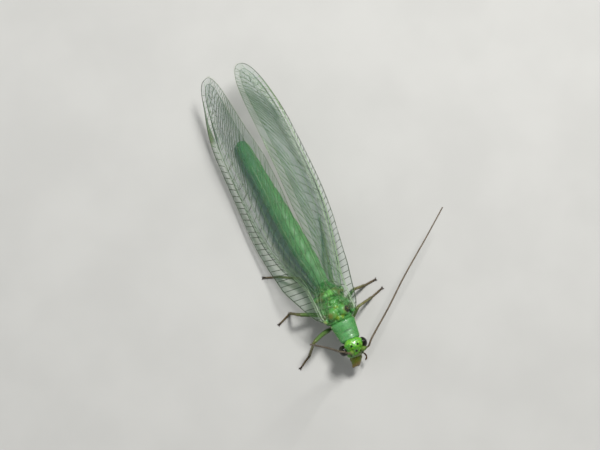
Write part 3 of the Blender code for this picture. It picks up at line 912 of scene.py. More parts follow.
class Roof:
    """Lays flat wing measures on one side's folded wing, from a table made once."""

    ROOT, ALONG, ACROSS = -0.4, 0.1, 0.04
    LOWEST, HIGHEST = -1.4, 5.2

    def __init__(self, side_name):
        vein = WING_VEINS[side_name]
        self.side = SIDES[side_name]
        rows = WING_SLOPES[side_name]
        self.brim, self.foot, self.ridge = (
            smooth_table([(row[0], math.radians(row[i])) for row in rows]) for i in (1, 2, 3)
        )
        out_at = smooth_table([(y, out) for y, out, up in vein])
        up_at = smooth_table([(y, up) for y, out, up in vein])
        ys = [vein[0][0] + (vein[-1][0] - vein[0][0]) * i / 120 for i in range(121)]
        reach = reaches([Vector((out_at(y), y, up_at(y))) for y in ys])
        hinge = (Vector(vein[1]) - Vector(vein[0])).length
        y_at = smooth_table([(far - hinge, y) for far, y in zip(reach, ys)])
        below, above = round(-self.LOWEST / self.ACROSS), round(self.HIGHEST / self.ACROSS)
        rows = []
        for i in range(round((FOREWING_LENGTH - self.ROOT) / self.ALONG) + 3):
            a = self.ROOT + i * self.ALONG
            y = y_at(a)
            row = {0: (out_at(y), y, up_at(y))}
            for sign, count in ((-1, below), (1, above)):
                out, y, up = row[0]
                for j in range(count):
                    angle = self.slope(a, sign * (j + 0.5) * self.ACROSS)
                    out -= sign * math.cos(angle) * self.ACROSS
                    up += sign * math.sin(angle) * self.ACROSS
                    row[sign * (j + 1)] = (out, y, up)
            rows.append([row[j] for j in range(-below, above + 1)])
        self.table = np.array(rows)

    def slope(self, a, b):
        """How steeply the wing climbs towards the ridge there, in radians."""
        climb = min(max(b, 0.0) / forewing_hind(a), 1.0)
        foot, brim = self.foot(a), self.brim(a)
        blade = foot + (self.ridge(a) - foot) * climb
        return brim + (blade - brim) * ease(-FOLD_HALF_WIDTH, FOLD_HALF_WIDTH, b)

    def point(self, a, b, lift=0.0):
        """The place of (a, b), raised off the wing's middle surface by lift."""
        u = min(max((a - self.ROOT) / self.ALONG, 0), len(self.table) - 1.001)
        v = min(max((b - self.LOWEST) / self.ACROSS, 0), self.table.shape[1] - 1.001)
        i, j = int(u), int(v)
        s, t = u - i, v - j
        near, far = (row[j] * (1 - t) + row[j + 1] * t for row in self.table[i : i + 2])
        out, y, up = near * (1 - s) + far * s
        angle = self.slope(a, b)
        out += math.sin(angle) * lift
        up += math.cos(angle) * lift
        return Vector((out * self.side, y, up))


class WingPlan:
    """One wing's outline, long veins and cross-veins on flat wing measures.

    Strokes are (points, thickness at each end, darkness). The points are (a, b) pairs.
    """

    RADIUS_END, STIGMA_FROM, STIGMA_TO = 16.0, 13.3, 15.6
    INNER_END, OUTER_END = 10.2, 10.4
    SECTOR_STEP, ROOT_STEP, CELL_STEP = 0.72, 0.42, 0.60
    INNER_RIB_STEP, OUTER_RIB_STEP, TIP_STEP = 0.56, 0.49, 0.36
    MARGINS = {0: -1, 1: 1}  # the strokes that are margins, and which way is out of the wing there
    THIN, THINNER = (0.014, 0.014), (0.014, 0.012)

    def __init__(self, front, hind, start, end, seed, costal_spacing, costal_dark):
        self.front, self.hind, self.start, self.end = front, hind, start, end
        self.random = random.Random(seed)
        self.strokes = []
        self.radius = lambda a: max(0.0, self.front(a) + 0.16)
        self.subcosta = lambda a: max(self.radius(a) - 0.13, self.front(a) + 0.03)
        self.sector = self.between((1.6, 0.0), (2.6, 0.13), (5, 0.16), (9, 0.22), (13, 0.25), (end, 0.4))
        self.inner = self.between((0.4, 0.12), (1.5, 0.34), (4, 0.40), (8, 0.45), (10.2, 0.44))
        self.outer = self.between((0.4, 0.30), (1.5, 0.60), (4, 0.68), (8, 0.70), (10.4, 0.68))
        self.long_veins()
        self.costal_veins(costal_spacing, costal_dark)
        self.cells()
        self.ribs()

    def between(self, *shares):
        """A vein that lies at a share, from (a, share) pairs, of the way from radius to hind margin."""
        share = smooth_table(shares)
        return lambda a: self.radius(a) + (self.hind(a) - self.radius(a)) * share(a)

    def line(self, at, start, end, widths, dark=0.0, step=0.16):
        """Strokes a long vein from start to end."""
        count = max(2, math.ceil((end - start) / step) + 1)
        places = [start + (end - start) * i / (count - 1) for i in range(count)]
        self.strokes.append(([(a, at(a)) for a in places], widths, dark))

    def stroke(self, points, widths, dark, step=0.14):
        """Strokes a smooth vein through a few points."""
        reach = sum(math.dist(p, q) for p, q in zip(points, points[1:]))
        count = max(3, math.ceil(reach / step) + 1)
        self.strokes.append(([tuple(point) for point in smooth_line(points, count)], widths, dark))

    def cross(self, first, start, second, end, widths, dark):
        """Strokes a cross-vein from the first vein, at start, to the second, at end."""
        self.stroke([(start, first(start)), (end, second(end))], widths, dark)

    def long_veins(self):
        """Margins, subcosta, radius with its sector, and the two long veins of the blade."""
        start, end = self.start, self.end
        rim = [start + (end - start) * math.sin(i / 90 * math.pi / 2) for i in range(91)]
        rim = [start, *(a for a in rim if a > start + 0.02), end * 0.9999]
        self.strokes.append(([(a, self.front(a)) for a in rim], (0.032, 0.018), 0.8))
        self.strokes.append(([(a, self.hind(a)) for a in rim], self.THIN, 0.6))
        self.line(self.subcosta, start, self.STIGMA_TO, (0.020, 0.015))
        self.line(self.radius, start, self.RADIUS_END, (0.034, 0.018))
        self.line(self.sector, max(1.6, start + 0.4), end - 0.15, (0.024, 0.014))
        self.line(self.inner, start + 0.05, self.INNER_END, (0.018, 0.014), 0.1)
        self.line(self.outer, start + 0.05, self.OUTER_END, (0.018, 0.013), 0.1)

    def costal_veins(self, spacing, dark):
        """Slanting cross-veins from the subcosta to the margin, crowded at the wing mark."""
        a = self.start + 0.3
        while a < self.STIGMA_TO:
            marked = a > self.STIGMA_FROM
            edge = a + (0.10 + 0.16 * ease(0.5, 4.0, a))
            if self.front(edge) < self.subcosta(a) - 0.05:
                tone = 0.1 if marked else dark * (1 - 0.75 * ease(10.5, 12.5, a))
                self.cross(self.subcosta, a, self.front, edge, (0.026, 0.022), tone)
            a += (spacing * 0.5 if marked else spacing) * self.random.uniform(0.9, 1.1)
        a = self.start + 1.6
        while a < self.RADIUS_END - 0.3:
            tone = 0.75 - 0.5 * ease(9, 13, a)
            self.cross(self.radius, a, self.sector, a + 0.12, (0.016, 0.016), tone)
            a += self.SECTOR_STEP * self.random.uniform(0.92, 1.08)

    def cells(self):
        """Slanting cells between the sector and the two long veins of the blade."""
        first, last = max(self.start, 0) + 1.5, self.INNER_END - 0.1
        for i in range(14):
            a = first + self.CELL_STEP * i
            dark = 0.85 - 0.45 * ease(6, 10, a)
            if a + 0.5 < last:
                self.cross(self.sector, a, self.inner, a + 0.5, self.THINNER, dark * 0.6)
            if a + 0.25 < last:
                self.cross(self.inner, a - 0.1, self.outer, a + 0.25, self.THINNER, dark * 0.8)
        for i in range(4):
            a = self.start + 0.35 + self.ROOT_STEP * i
            self.cross(self.radius, a, self.inner, a + 0.12, (0.018, 0.016), 0.8)
            self.cross(self.inner, a, self.outer, a + 0.10, (0.018, 0.016), 0.8)

    def ribs(self):
        """Forked ribs to the hind margin, with two stepped rows of cross-veins in the outer wing."""
        for i in range(18):
            a = self.start + 0.35 + self.INNER_RIB_STEP * i
            if a < self.OUTER_END - 0.1:
                edge = a + (0.7 + 1.5 * ease(1, 6, a))
                self.forked((a, self.outer(a)), (edge, self.hind(edge)), 0.5, 0.15, 0.25)
        ribs = []
        for i in range(15):
            a = 8.9 + self.OUTER_RIB_STEP * i
            edge = min(a + 4.0 - 3.1 * ease(9, 16, a), self.end - 0.12 * (15 - i) / 5 - 0.05)
            if a < self.end - 0.8:
                ribs.append(self.forked((a, self.sector(a)), (edge, self.hind(edge)), 0.72, 0.13, 0.4))
        for share, shift, dark in ((0.30, 0.05, 0.8), (0.58, 0.05, 0.7)):
            for before, after in zip(ribs, ribs[1:]):
                first, second = self.along(before, share + shift), self.along(after, share - shift)
                self.stroke([first, second], self.THIN, dark, step=0.2)
        for i in range(7):
            a = 13.9 + self.TIP_STEP * i
            if a < self.end - 0.5:
                self.cross(self.sector, a, self.front, a + 0.3, self.THINNER, 0.1)

    def along(self, line, share):
        """The place at a share of the way along a line."""
        place = share * (len(line) - 1)
        i = min(int(place), len(line) - 2)
        t = place - i
        return tuple(p + (q - p) * t for p, q in zip(line[i], line[i + 1]))

    def forked(self, root, tip, fork_at, spread, dark):
        """A rib from root to tip, slightly bowed, with a side branch from fork_at on."""
        middle = ((root[0] + tip[0]) / 2 - 0.10, (root[1] + tip[1]) / 2)
        line = [tuple(point) for point in smooth_line([root, middle, tip], 16)]
        self.strokes.append((line, (0.014, 0.011), dark))
        side = min(tip[0] - spread * 2, self.end - 0.1)
        self.stroke([self.along(line, fork_at), (side, self.hind(side))], (0.011, 0.010), dark)
        return line


def wing_film(roof, plan, lift, thickness):
    """A grid drawn to the wing's outline, laid on the roof and given its thickness."""
    only(None)
    bpy.ops.mesh.primitive_grid_add(x_subdivisions=120, y_subdivisions=44, size=1, location=(0, 0, 0))
    piece = bpy.context.object
    marks = []
    for vert in piece.data.vertices:
        u, v = vert.co.x + 0.5, vert.co.y + 0.5
        a = plan.start + (plan.end - plan.start) * math.sin(u * math.pi / 2)
        front, hind = plan.front(a), plan.hind(a)
        b = front + (hind - front) * (0.55 * v + 0.45 * v * v)
        ripple = 0.02 * math.sin(9.0 * b + 1.3 * math.sin(0.8 * a)) * ease(0.0, 0.6, b)
        vert.co = roof.point(a, b, lift + ripple)
        inside = ease(plan.STIGMA_FROM - 0.2, plan.STIGMA_FROM + 0.4, a)
        inside *= 1 - ease(plan.STIGMA_TO - 0.8, plan.STIGMA_TO + 0.3, a)
        marks.append(inside * (1 - ease(plan.radius(a) - 0.02, plan.radius(a) + 0.06, b)))
    outward(marked(piece, "mark", marks), 0.002)
    return modified(piece, "SOLIDIFY", thickness=thickness, offset=0)


def wing_veins(roof, plan, lift, weight):
    """Every stroke of the plan as a tube on the roof, with its darkness on its points."""
    groups = {}
    for points, (first, last), dark in plan.strokes:
        stroke = []
        for i, (a, b) in enumerate(points):
            radius = first + (last - first) * i / (len(points) - 1)
            stroke.append((roof.point(a, b, lift), radius * 0.8 * weight))
        groups.setdefault(round(dark, 1), []).append(stroke)
    pieces = []
    for dark, strokes in groups.items():
        piece = tubes(strokes, resolution=1)
        pieces.append(marked(piece, "dark", [dark] * len(piece.data.vertices)))
    return joined(pieces)


def wing_hairs(roof, plan, lift, fringe, seed):
    """A fringe of hairs round the margin and shorter ones along the veins."""
    dice = random.Random(seed)
    hairs = []
    for index, (points, widths, dark) in enumerate(plan.strokes):
        out = plan.MARGINS.get(index)
        spacing = 0.055 if out else 0.11
        for (a, b), (c, d) in zip(points, points[1:]):
            reach = math.dist((a, b), (c, d))
            along, across = (c - a) / reach, (d - b) / reach
            for _ in range(max(1, round(reach / spacing))):
                t = dice.random()
                x, y = a + (c - a) * t, b + (d - b) * t
                if out:
                    lean = dice.uniform(0.3, 0.7)
                    tip_x = x + along * fringe * lean - across * fringe * out
                    tip_y = y + across * fringe * lean + along * fringe * out
                    tip = roof.point(tip_x, tip_y, lift + fringe * dice.uniform(-0.2, 0.3))
                else:
                    size = fringe * 0.65
                    tip_y = y + size * dice.uniform(-0.4, 0.4)
                    tip = roof.point(x + size * 0.7, tip_y, lift + size * 0.7)
                unwrapped = ((x - roof.ROOT) / 18, (y - roof.LOWEST) / 7)
                hairs.append((roof.point(x, y, lift), tip, 0.0045, unwrapped))
    return spikes(hairs)


# Body parts


def face_frame():
    """Face space: x to the insect's left, y up the face and z straight out of it."""
    level = math.cos(HEAD_ROLL)
    down = Vector((-math.sin(HEAD_ROLL), -math.sin(FACE_LEAN) * level, -math.cos(FACE_LEAN) * level))
    out = Vector((0, -math.cos(FACE_LEAN), math.sin(FACE_LEAN)))
    axes = Matrix((out.cross(down), -down, out)).transposed().to_4x4()
    return Matrix.Translation(HEAD_CENTRE + HEAD_NUDGE) @ axes


FACE = face_frame()


def on_face(piece):
    """The piece carried from face space to its place on the head."""
    piece.matrix_world = FACE
    return applied(piece)


def eye_place(side):
    """The middle of the eye on one side."""
    return Vector((EYE_SHOWN_MIDDLE + side * EYE_SHOWN_OUT, *EYE_PLACE))


def ring(centre, turn, radius, thickness, sides=20):
    """A small torus, such as a socket's rim."""
    only(None)
    bpy.ops.mesh.primitive_torus_add(
        location=centre,
        rotation=degrees(*turn),
        major_segments=sides,
        minor_segments=8,
        major_radius=radius,
        minor_radius=thickness,
    )
    return applied(bpy.context.object)


def head_shape():
    """Crown, brow, cheeks and sockets of the feelers as one skin."""
    stations = (
        ((-0.05, 0.68, -0.08), 0.40, 0.14),
        ((-0.05, 0.60, -0.04), 0.52, 0.25),
        ((-0.05, 0.40, 0.0), 0.61, 0.34),
        ((-0.04, 0.08, 0.0), 0.62, 0.38),
        ((-0.02, -0.22, 0.0), 0.56, 0.36),
        ((0, -0.46, 0.0), 0.47, 0.31),
        ((0, -0.62, 0.0), 0.40, 0.26),
    )
    crown = ((-0.05, 0.30, 0.20), (0.32, 0.30, 0.22))
    brow = ((0, -0.22, 0.20), (0.34, 0.28, 0.22))
    nape = ((-0.05, 0.54, -0.10), (0.44, 0.18, 0.20))
    parts = [drawn_out(stations), *balls(crown, brow, nape)]
    for side in SIDES.values():
        temple = ((side * 0.24 - 0.05, 0.46, 0.11), (0.23, 0.20, 0.19))
        cheek = ((side * 0.40, -0.34, 0.04), (0.16, 0.26, 0.22))
        parts += balls(temple, cheek)
        parts.append(ring((side * 0.27, 0.05, 0.36), (-8, side * 14, 0), 0.13, 0.035))
        parts.append(ring((side * 0.15, -0.42, 0.25), (10, 0, 0), 0.05, 0.018, 12))
    return one_flesh([on_face(joined(parts))], 0.017, 3)


def mouth_shape():
    """Clypeus, upper lip and the rounded tips of the jaws under it."""
    stations = (
        ((0.02, -0.50, 0.04), 0.38, 0.26),
        ((0.02, -0.72, 0.10), 0.36, 0.25),
        ((0.0, -0.94, 0.16), 0.33, 0.21),
        ((-0.03, -1.12, 0.20), 0.30, 0.16),
        ((-0.05, -1.22, 0.21), 0.25, 0.11),
    )
    lip = ((-0.06, -1.24, 0.24), (0.27, 0.13, 0.10))
    throat = ((-0.03, -1.08, 0.0), (0.24, 0.28, 0.16)), ((0.0, -0.72, -0.14), (0.26, 0.30, 0.16))
    parts = [drawn_out(stations), *balls(lip, *throat)]
    for side in SIDES.values():
        jaw = ((side * 0.12 - 0.06, -1.34, 0.16), (0.11, 0.20, 0.10), (0, 0, side * 22))
        parts += balls(jaw, ((side * 0.28 + 0.02, -0.86, 0.06), (0.12, 0.20, 0.12)))
    return one_flesh([on_face(joined(parts))], 0.016, 3)


def eye_shape(side):
    """A ball of hexagonal facets, each slightly domed."""
    only(None)
    bpy.ops.mesh.primitive_ico_sphere_add(subdivisions=4, radius=1)
    piece = bpy.context.object
    bpy.ops.object.mode_set(mode="EDIT")
    bpy.ops.mesh.select_mode(type="VERT")
    bpy.ops.mesh.select_all(action="SELECT")
    bpy.ops.mesh.bevel(offset_type="PERCENT", offset_pct=33, affect="VERTICES")
    bpy.ops.mesh.select_all(action="SELECT")
    bpy.ops.mesh.remove_doubles(threshold=0.004)
    bpy.ops.mesh.select_mode(type="FACE")
    bpy.ops.mesh.select_all(action="SELECT")
    bpy.ops.mesh.inset(thickness=0.006, depth=0.003, use_individual=True)
    bpy.ops.mesh.inset(thickness=0.014, depth=0.002, use_individual=True)
    put_in_order()
    bpy.ops.object.mode_set(mode="OBJECT")
    piece.scale = EYE_RADII
    piece.location = eye_place(side)
    return applied(piece)


def jointed(points, segments, widths, steps=4, waist=0.78):
    """A stroke that swells in each of its segments and narrows between them."""
    count = segments * steps + 1
    line = smooth_line(points, count)
    stroke = []
    for i, place in enumerate(line):
        share = i / (count - 1)
        swell = math.sin(math.pi * (i % steps) / steps) ** 0.5 if i % steps else 0.0
        width = widths[0] + (widths[1] - widths[0]) * share
        stroke.append((place, width * (waist + (1 - waist) * swell)))
    stroke[0] = (stroke[0][0], stroke[0][1] * 0.7)
    stroke[-1] = (stroke[-1][0], stroke[-1][1] * 0.45)
    return stroke


def feeler_line(side_name):
    """A feeler's points, from its socket on the shown head."""
    socket = FACE @ Vector((SIDES[side_name] * 0.27, 0.05, 0.33))
    return [socket, *[Vector(point) for point in FEELERS[side_name][1:]]]


def feeler_shape(side_name, settings):
    """A stout first joint, a small second one and about ninety fine rings with their hairs."""
    line = feeler_line(side_name)
    radius = settings.feeler_width / MM / 2
    count = round(reaches(line)[-1] / (settings.ring_length / MM))
    places = smooth_line(line, count * 3 + 1)
    whip_from = 12
    swell = ((0, 0.09), (2, 0.145), (6, 0.155), (9, 0.12), (10, 0.08), (11, 0.095), (12, 0.075))
    width_at = smooth_table(swell)
    base = [(place, width_at(i)) for i, place in enumerate(places[: whip_from + 1])]
    whip = []
    hairs = []
    dice = random.Random(11 + SIDES[side_name])
    for i in range(whip_from, len(places)):
        share = i / len(places)
        width = radius * (1 - 0.42 * share)
        whip.append((places[i], width * (0.84 if i % 3 == 0 else 1.0)))
        if i % 3 == 0 or i + 1 >= len(places):
            continue
        ahead = (places[i + 1] - places[i]).normalized()
        level = ahead.orthogonal().normalized()
        for j in range(6):
            out = Matrix.Rotation(2 * math.pi * (j + dice.random()) / 6, 3, ahead) @ level
            root = places[i] + out * width * 0.9
            tip = root + (out * 0.55 + ahead).normalized() * 0.075
            hairs.append((root, tip, 0.004, (share, j / 6)))
    whip[-1] = (whip[-1][0], whip[-1][1] * 0.5)
    return tubes([base, whip]), spikes(hairs)


THORAX_STATIONS = (  # along the body, half width, underside, top
    (-0.72, 0.50, 1.56, 2.30),
    (-0.60, 0.74, 1.40, 2.44),
    (-0.45, 0.88, 1.22, 2.56),
    (-0.20, 0.96, 1.06, 2.68),
    (0.10, 0.96, 0.98, 2.72),
    (0.40, 0.92, 0.98, 2.68),
    (0.66, 0.86, 1.04, 2.58),
    (0.82, 0.84, 1.08, 2.52),
    (1.05, 0.87, 1.06, 2.54),
    (1.35, 0.82, 1.10, 2.48),
    (1.65, 0.66, 1.18, 2.34),
    (1.90, 0.50, 1.30, 2.16),
    (2.05, 0.38, 1.36, 2.04),
)
BACK_PLATES = (  # out from the middle, along the body, half width, half length, rise
    (0.0, -0.50, 0.30, 0.16, 0.03),
    (0.40, -0.10, 0.36, 0.38, 0.12),
    (0.0, 0.20, 0.14, 0.36, 0.03),
    (0.0, 0.62, 0.28, 0.15, 0.08),
    (0.54, 0.54, 0.26, 0.18, 0.07),
    (0.0, 0.86, 0.26, 0.09, 0.02),
    (0.44, 1.16, 0.30, 0.32, 0.12),
    (0.10, 1.22, 0.10, 0.26, 0.05),
    (0.0, 1.64, 0.24, 0.14, 0.04),
    (0.36, 1.70, 0.20, 0.20, 0.04),
)
FLANK_PLATES = (  # height, along the body, half height, half length, rise
    (2.05, -0.34, 0.30, 0.26, 0.06),
    (1.50, -0.30, 0.34, 0.24, 0.07),
    (1.95, 0.22, 0.26, 0.26, 0.05),
    (1.40, 0.26, 0.34, 0.26, 0.08),
    (1.90, 0.98, 0.26, 0.24, 0.05),
    (1.42, 1.00, 0.32, 0.26, 0.07),
    (1.60, 1.48, 0.34, 0.18, 0.04),
)


def plate_rise(x, y, plates):
    """How far skin rises over rounded plates, sunk a little along their rims."""
    rise = 0.0
    for across, along, wide, far, high in plates:
        reach = (abs((x - across) / wide) ** 2.6 + abs((y - along) / far) ** 2.6) ** (1 / 2.6)
        rise += high * (1 - ease(0.35, 1.06, reach)) - 0.05 * math.exp(-(((reach - 1.06) / 0.15) ** 2))
    return rise


def thorax_shape():
    """Middle and hind thorax as one skin: back plates, shields, wing roots and flank plates."""
    wide, under, top = (smooth_table([(row[0], row[i]) for row in THORAX_STATIONS]) for i in (1, 2, 3))
    first, last = THORAX_STATIONS[0][0], THORAX_STATIONS[-1][0]
    stations = []
    for i in range(90):
        y = first + (last - first) * i / 89
        x = 0.02 - 0.03 * ease(0.6, 2.0, y)
        stations.append(((x, y, (under(y) + top(y)) / 2), wide(y), (top(y) - under(y)) / 2))
    core = drawn_out(stations, sides=88)
    moves = []
    for vert in core.data.vertices:
        x, y, z = vert.co
        normal = vert.normal.copy()
        back = ease(0.25, 0.75, normal.z) * plate_rise(abs(x), y, BACK_PLATES)
        flank = ease(0.45, 0.9, abs(normal.x)) * plate_rise(z, y, FLANK_PLATES)
        groove = 0.035 * math.exp(-((x / 0.035) ** 2)) * ease(0.6, 0.9, normal.z)
        groove *= 1 - ease(0.1, 0.3, y)
        moves.append(normal * (back + flank - groove))
    for vert, move in zip(core.data.vertices, moves):
        vert.co += move
    parts = [core]
    for side in SIDES.values():
        parts.append(ring((side * 0.58, -0.11, 2.57), (0, side * 36, 0), 0.17, 0.035))
        parts += balls(
            ((side * 0.90, -0.04, 2.42), (0.16, 0.24, 0.11), (0, side * 20, 0)),
            ((side * 0.90, -0.24, 2.42), (0.17, 0.20, 0.09), (0, side * 14, 0)),
            ((side * 0.84, 0.28, 2.32), (0.14, 0.22, 0.12)),
            ((side * 0.84, 1.16, 2.24), (0.16, 0.20, 0.12)),
        )
    return one_flesh(parts, 0.018, 2)


PRONOTUM_MIDDLE = 0.02
PRONOTUM_TOP = (  # place along the body and height over the middle
    (-2.00, 0.26), (-1.93, 0.39), (-1.84, 0.465), (-1.70, 0.425), (-1.40, 0.42), (-1.30, 0.415),
    (-1.18, 0.43), (-0.92, 0.455), (-0.78, 0.46), (-0.68, 0.45), (-0.60, 0.34),
)
PRONOTUM_WIDTH = (
    (-2.1, 0.36), (-1.97, 0.48), (-1.84, 0.59), (-1.4, 0.67), (-1.0, 0.73), (-0.72, 0.76), (-0.58, 0.66),
)


def pronotum_shape():
    """The long first plate with its cross furrows, the neck's soft skin and the flanks."""
    top, wide = smooth_table(PRONOTUM_TOP), smooth_table(PRONOTUM_WIDTH)
    stations = []
    for i in range(34):
        y = -2.08 + 1.52 * i / 33
        centre = (PRONOTUM_MIDDLE, y, 1.97 + (top(y) - 0.40) / 2)
        stations.append((centre, wide(y), (0.40 + top(y)) / 2 + 0.03))
    piece = drawn_out(stations, sides=40)
    for vert in piece.data.vertices:
        x, y, z = vert.co
        out = x - PRONOTUM_MIDDLE
        rim = ease(0.55, 0.85, abs(out) / wide(y)) * ease(1.95, 2.1, z) * (1 - ease(2.2, 2.35, z))
        vert.co.x += math.copysign(0.04 * rim, out)
        vert.co.x += (PRONOTUM_MIDDLE - x) * ((1 - ease(1.7, 1.95, z)) * 0.16)
    return modified(piece, "SUBSURF", levels=1, render_levels=1)


def abdomen_shape():
    """Nine ringed segments, each a back plate over the belly with a soft fold between."""
    rings_per, segments = 6, 9
    count = segments * rings_per + 1
    line = smooth_line(ABDOMEN_LINE, count)
    radius_at = smooth_table(ABDOMEN_RADII)
    stations = []
    for i, place in enumerate(line):
        phase = (i % rings_per) / rings_per
        radius = radius_at(i / (count - 1)) * 0.98
        radius *= 1 - 0.08 * (1 - ease(0.0, 0.25, phase)) - 0.012 * ease(0.7, 1.0, phase)
        stations.append((place, radius, radius * 0.97))
    nose, tail = line[0] - (line[1] - line[0]) * 1.6, line[-1] + (line[-1] - line[-2]) * 0.55
    piece = drawn_out([(nose, 0.30, 0.30), *stations, (tail, 0.17, 0.16)], sides=40)
    height_at = smooth_table([(place.y, place.z) for place in line])
    middle_at = smooth_table([(place.y, place.x) for place in line])
    for vert in piece.data.vertices:
        x, y, z = vert.co
        out = x - middle_at(y)
        fold = math.exp(-(((z - height_at(y) + 0.12) / 0.10) ** 2)) * ease(0.5, 0.9, abs(out) / 0.66)
        vert.co.x -= math.copysign(0.05 * fold, out)
        vert.co.z = max(z, 0.002)
    ring_at = smooth_table([(place.y, i) for i, place in enumerate(line)])
    phases = [ring_at(vert.co.y) / rings_per % 1 for vert in piece.data.vertices]
    marked(piece, "fold", [1 - ease(0.0, 0.3, min(phase, 1 - phase) * 1.6) for phase in phases])
    modified(piece, "SUBSURF", levels=1, render_levels=1)
    for vert in piece.data.vertices:
        vert.co.z = max(vert.co.z, 0.0)
    return piece


def limb(points, profile, count=12):
    """A stroke along a limb's length with a thickness profile of (share, radius) pairs."""
    line = smooth_line(points, count)
    radius = smooth_table(profile)
    return [(place, radius(i / (count - 1))) for i, place in enumerate(line)]


def marked_along(piece, start, end, low, high):
    """The piece with each point's share of the leg's length, for the leg's colours."""
    span = end - start
    shares = [(vert.co - start).dot(span) / span.length_squared for vert in piece.data.vertices]
    return marked(piece, "along", [low + (high - low) * min(max(share, 0), 1) for share in shares])


def limb_hairs(stroke, count, seed, size, tip_turn=0.45):
    """Short hairs lying down a limb."""
    dice = random.Random(seed)
    hairs = []
    for i in range(count):
        place = dice.random() * (len(stroke) - 1)
        j = min(int(place), len(stroke) - 2)
        t = place - j
        (p, wide), (q, narrow) = stroke[j], stroke[j + 1]
        ahead = (q - p).normalized()
        out = Matrix.Rotation(dice.uniform(0, 2 * math.pi), 3, ahead) @ ahead.orthogonal().normalized()
        root = p.lerp(q, t) + out * (wide + (narrow - wide) * t) * 0.94
        tip = root + (out * tip_turn + ahead).normalized() * size * dice.uniform(0.7, 1.2)
        tip.z = max(tip.z, 0.004)
        hairs.append((root, tip, 0.005, (place / len(stroke), (i % 17) / 17)))
    return hairs


UP = Vector((0, 0, 1))


def claws_and_spurs(ankle, down, tip, ahead):
    """Two hooked claws at the tip of the foot and two spurs at the ankle.

    down leads down the shin and ahead leads along the foot.
    """
    across = ahead.cross(UP).normalized()
    claws = []
    spurs = []
    for out in (1, -1):
        reach = [tip + across * out * 0.03, tip + ahead * 0.07 + across * out * 0.075 + UP * 0.02]
        hook = tip + ahead * 0.13 + across * out * 0.085
        hook.z = 0.012
        claws.append(limb([*reach, hook], [(0, 0.022), (0.5, 0.018), (1, 0.006)], 6))
        end = ankle + down * 0.13 + across * out * 0.09
        end.z = max(end.z, 0.03)
        spurs.append(limb([ankle + across * out * 0.06, end], [(0, 0.018), (1, 0.005)], 4))
    return claws, spurs


def leg_pieces(leg, pair, side_name, settings):
    """One leg's hip, thigh, shin and foot by their solids' names, and its hairs."""
    top, hip = (Vector((x * SIDES[side_name], y, z)) for x, y, z in COXAE[pair])
    hip = hip + Vector(HIP_NUDGES.get(leg, (0, 0, 0)))
    widths = (settings.thigh_width, settings.shin_width, settings.foot_width)
    thigh, shin, foot = (width / MM / 2 for width in widths)
    sole = foot + 0.012
    knee, ankle, tip = LEGS[leg]
    knee, ankle, tip = Vector(knee), Vector((*ankle[:2], sole + 0.10)), Vector((*tip, sole))
    upper = limb([top, top.lerp(hip, 0.5), hip], [(0, 0.20), (0.25, 0.25), (0.7, 0.19), (1, 0.13)])
    turn = hip.lerp(knee, 0.10)
    hinge = limb([hip, hip.lerp(knee, 0.05), turn], [(0, 0.10), (0.4, 0.14), (1, 0.10)], 6)
    bow = hip.lerp(knee, 0.5) + Vector(THIGH_BOWS.get(leg, (0, 0, 0.05)))
    profile = [(0, 0.09), (0.15, 0.14), (0.5, thigh), (0.85, 0.12), (0.96, 0.115), (1, 0.07)]
    femur = limb([turn, bow, knee], profile, 16)
    bow = knee.lerp(ankle, 0.5) + UP * 0.03
    profile = [(0, 0.07), (0.05, 0.10), (0.2, shin), (0.8, shin * 0.95), (0.97, shin * 1.15), (1, 0.06)]
    tibia = limb([knee, bow, ankle], profile, 18)
    toes = ankle.lerp(tip, 0.32)
    toes.z = sole
    line = [ankle, toes, toes.lerp(tip, 0.5), tip]
    tarsus = jointed(line, 5, (foot * 1.05, foot * 0.85), waist=0.72)
    ahead = (tip - toes).normalized()
    claws, spurs = claws_and_spurs(ankle, (ankle - knee).normalized(), tip, ahead)
    pad = ball(tip + ahead * 0.05 - UP * (sole - 0.035), (0.05, 0.05, 0.032), segments=12, rings=8)
    pieces = {
        "coxa": marked_along(tubes([upper, hinge]), top, turn, 0.0, 0.1),
        "femur": marked_along(tubes([femur]), turn, knee, 0.1, 1.0),
        "tibia": marked_along(tubes([tibia, *spurs]), knee, ankle, 1.0, 2.0),
        "tarsus": marked_along(joined([tubes([tarsus, *claws]), pad]), ankle, tip, 2.05, 3.0),
    }
    seed = sum(map(ord, pair + side_name))
    hairs = limb_hairs(femur, 260, seed, 0.085) + limb_hairs(tibia, 420, seed + 1, 0.10, 0.55)
    hairs += limb_hairs(tarsus, 220, seed + 2, 0.07, 0.5) + limb_hairs(upper, 60, seed + 3, 0.1)
    return pieces, spikes(hairs)


def sown(piece, count, seed, size, lie, stand=0.45, where=None):
    """Fine hairs sown evenly over a shaped piece, leaning along lie."""
    dice = random.Random(seed)
    mesh = piece.data
    totals = list(itertools.accumulate(polygon.area for polygon in mesh.polygons))
    corners = np.array([vert.co for vert in mesh.vertices])
    low, high = corners.min(0), corners.max(0)
    middle = (low + high) / 2
    lie = Vector(lie)
    hairs = []
    for _ in range(count):
        polygon = mesh.polygons[min(bisect.bisect(totals, dice.random() * totals[-1]), len(totals) - 1)]
        shares = [dice.random() for _ in polygon.vertices]
        parts = [mesh.vertices[i].co * share for i, share in zip(polygon.vertices, shares)]
        root = sum(parts, Vector()) / sum(shares)
        if where and not where(root):
            continue
        normal = polygon.normal
        jitter = Vector([dice.uniform(-0.25, 0.25) for _ in range(3)])
        ahead = (normal * stand + lie * (1 - stand) + jitter).normalized()
        tip = root + ahead * size * dice.uniform(0.6, 1.15)
        tip.z = max(tip.z, 0.004)
        turn = math.atan2(root.x - middle[0], root.z - middle[2]) / (2 * math.pi) + 0.5
        hairs.append((root - normal * 0.008, tip, 0.005, (turn, (root.y - low[1]) / (high[1] - low[1]))))
    return hairs


# One operator for each piece or group of pieces

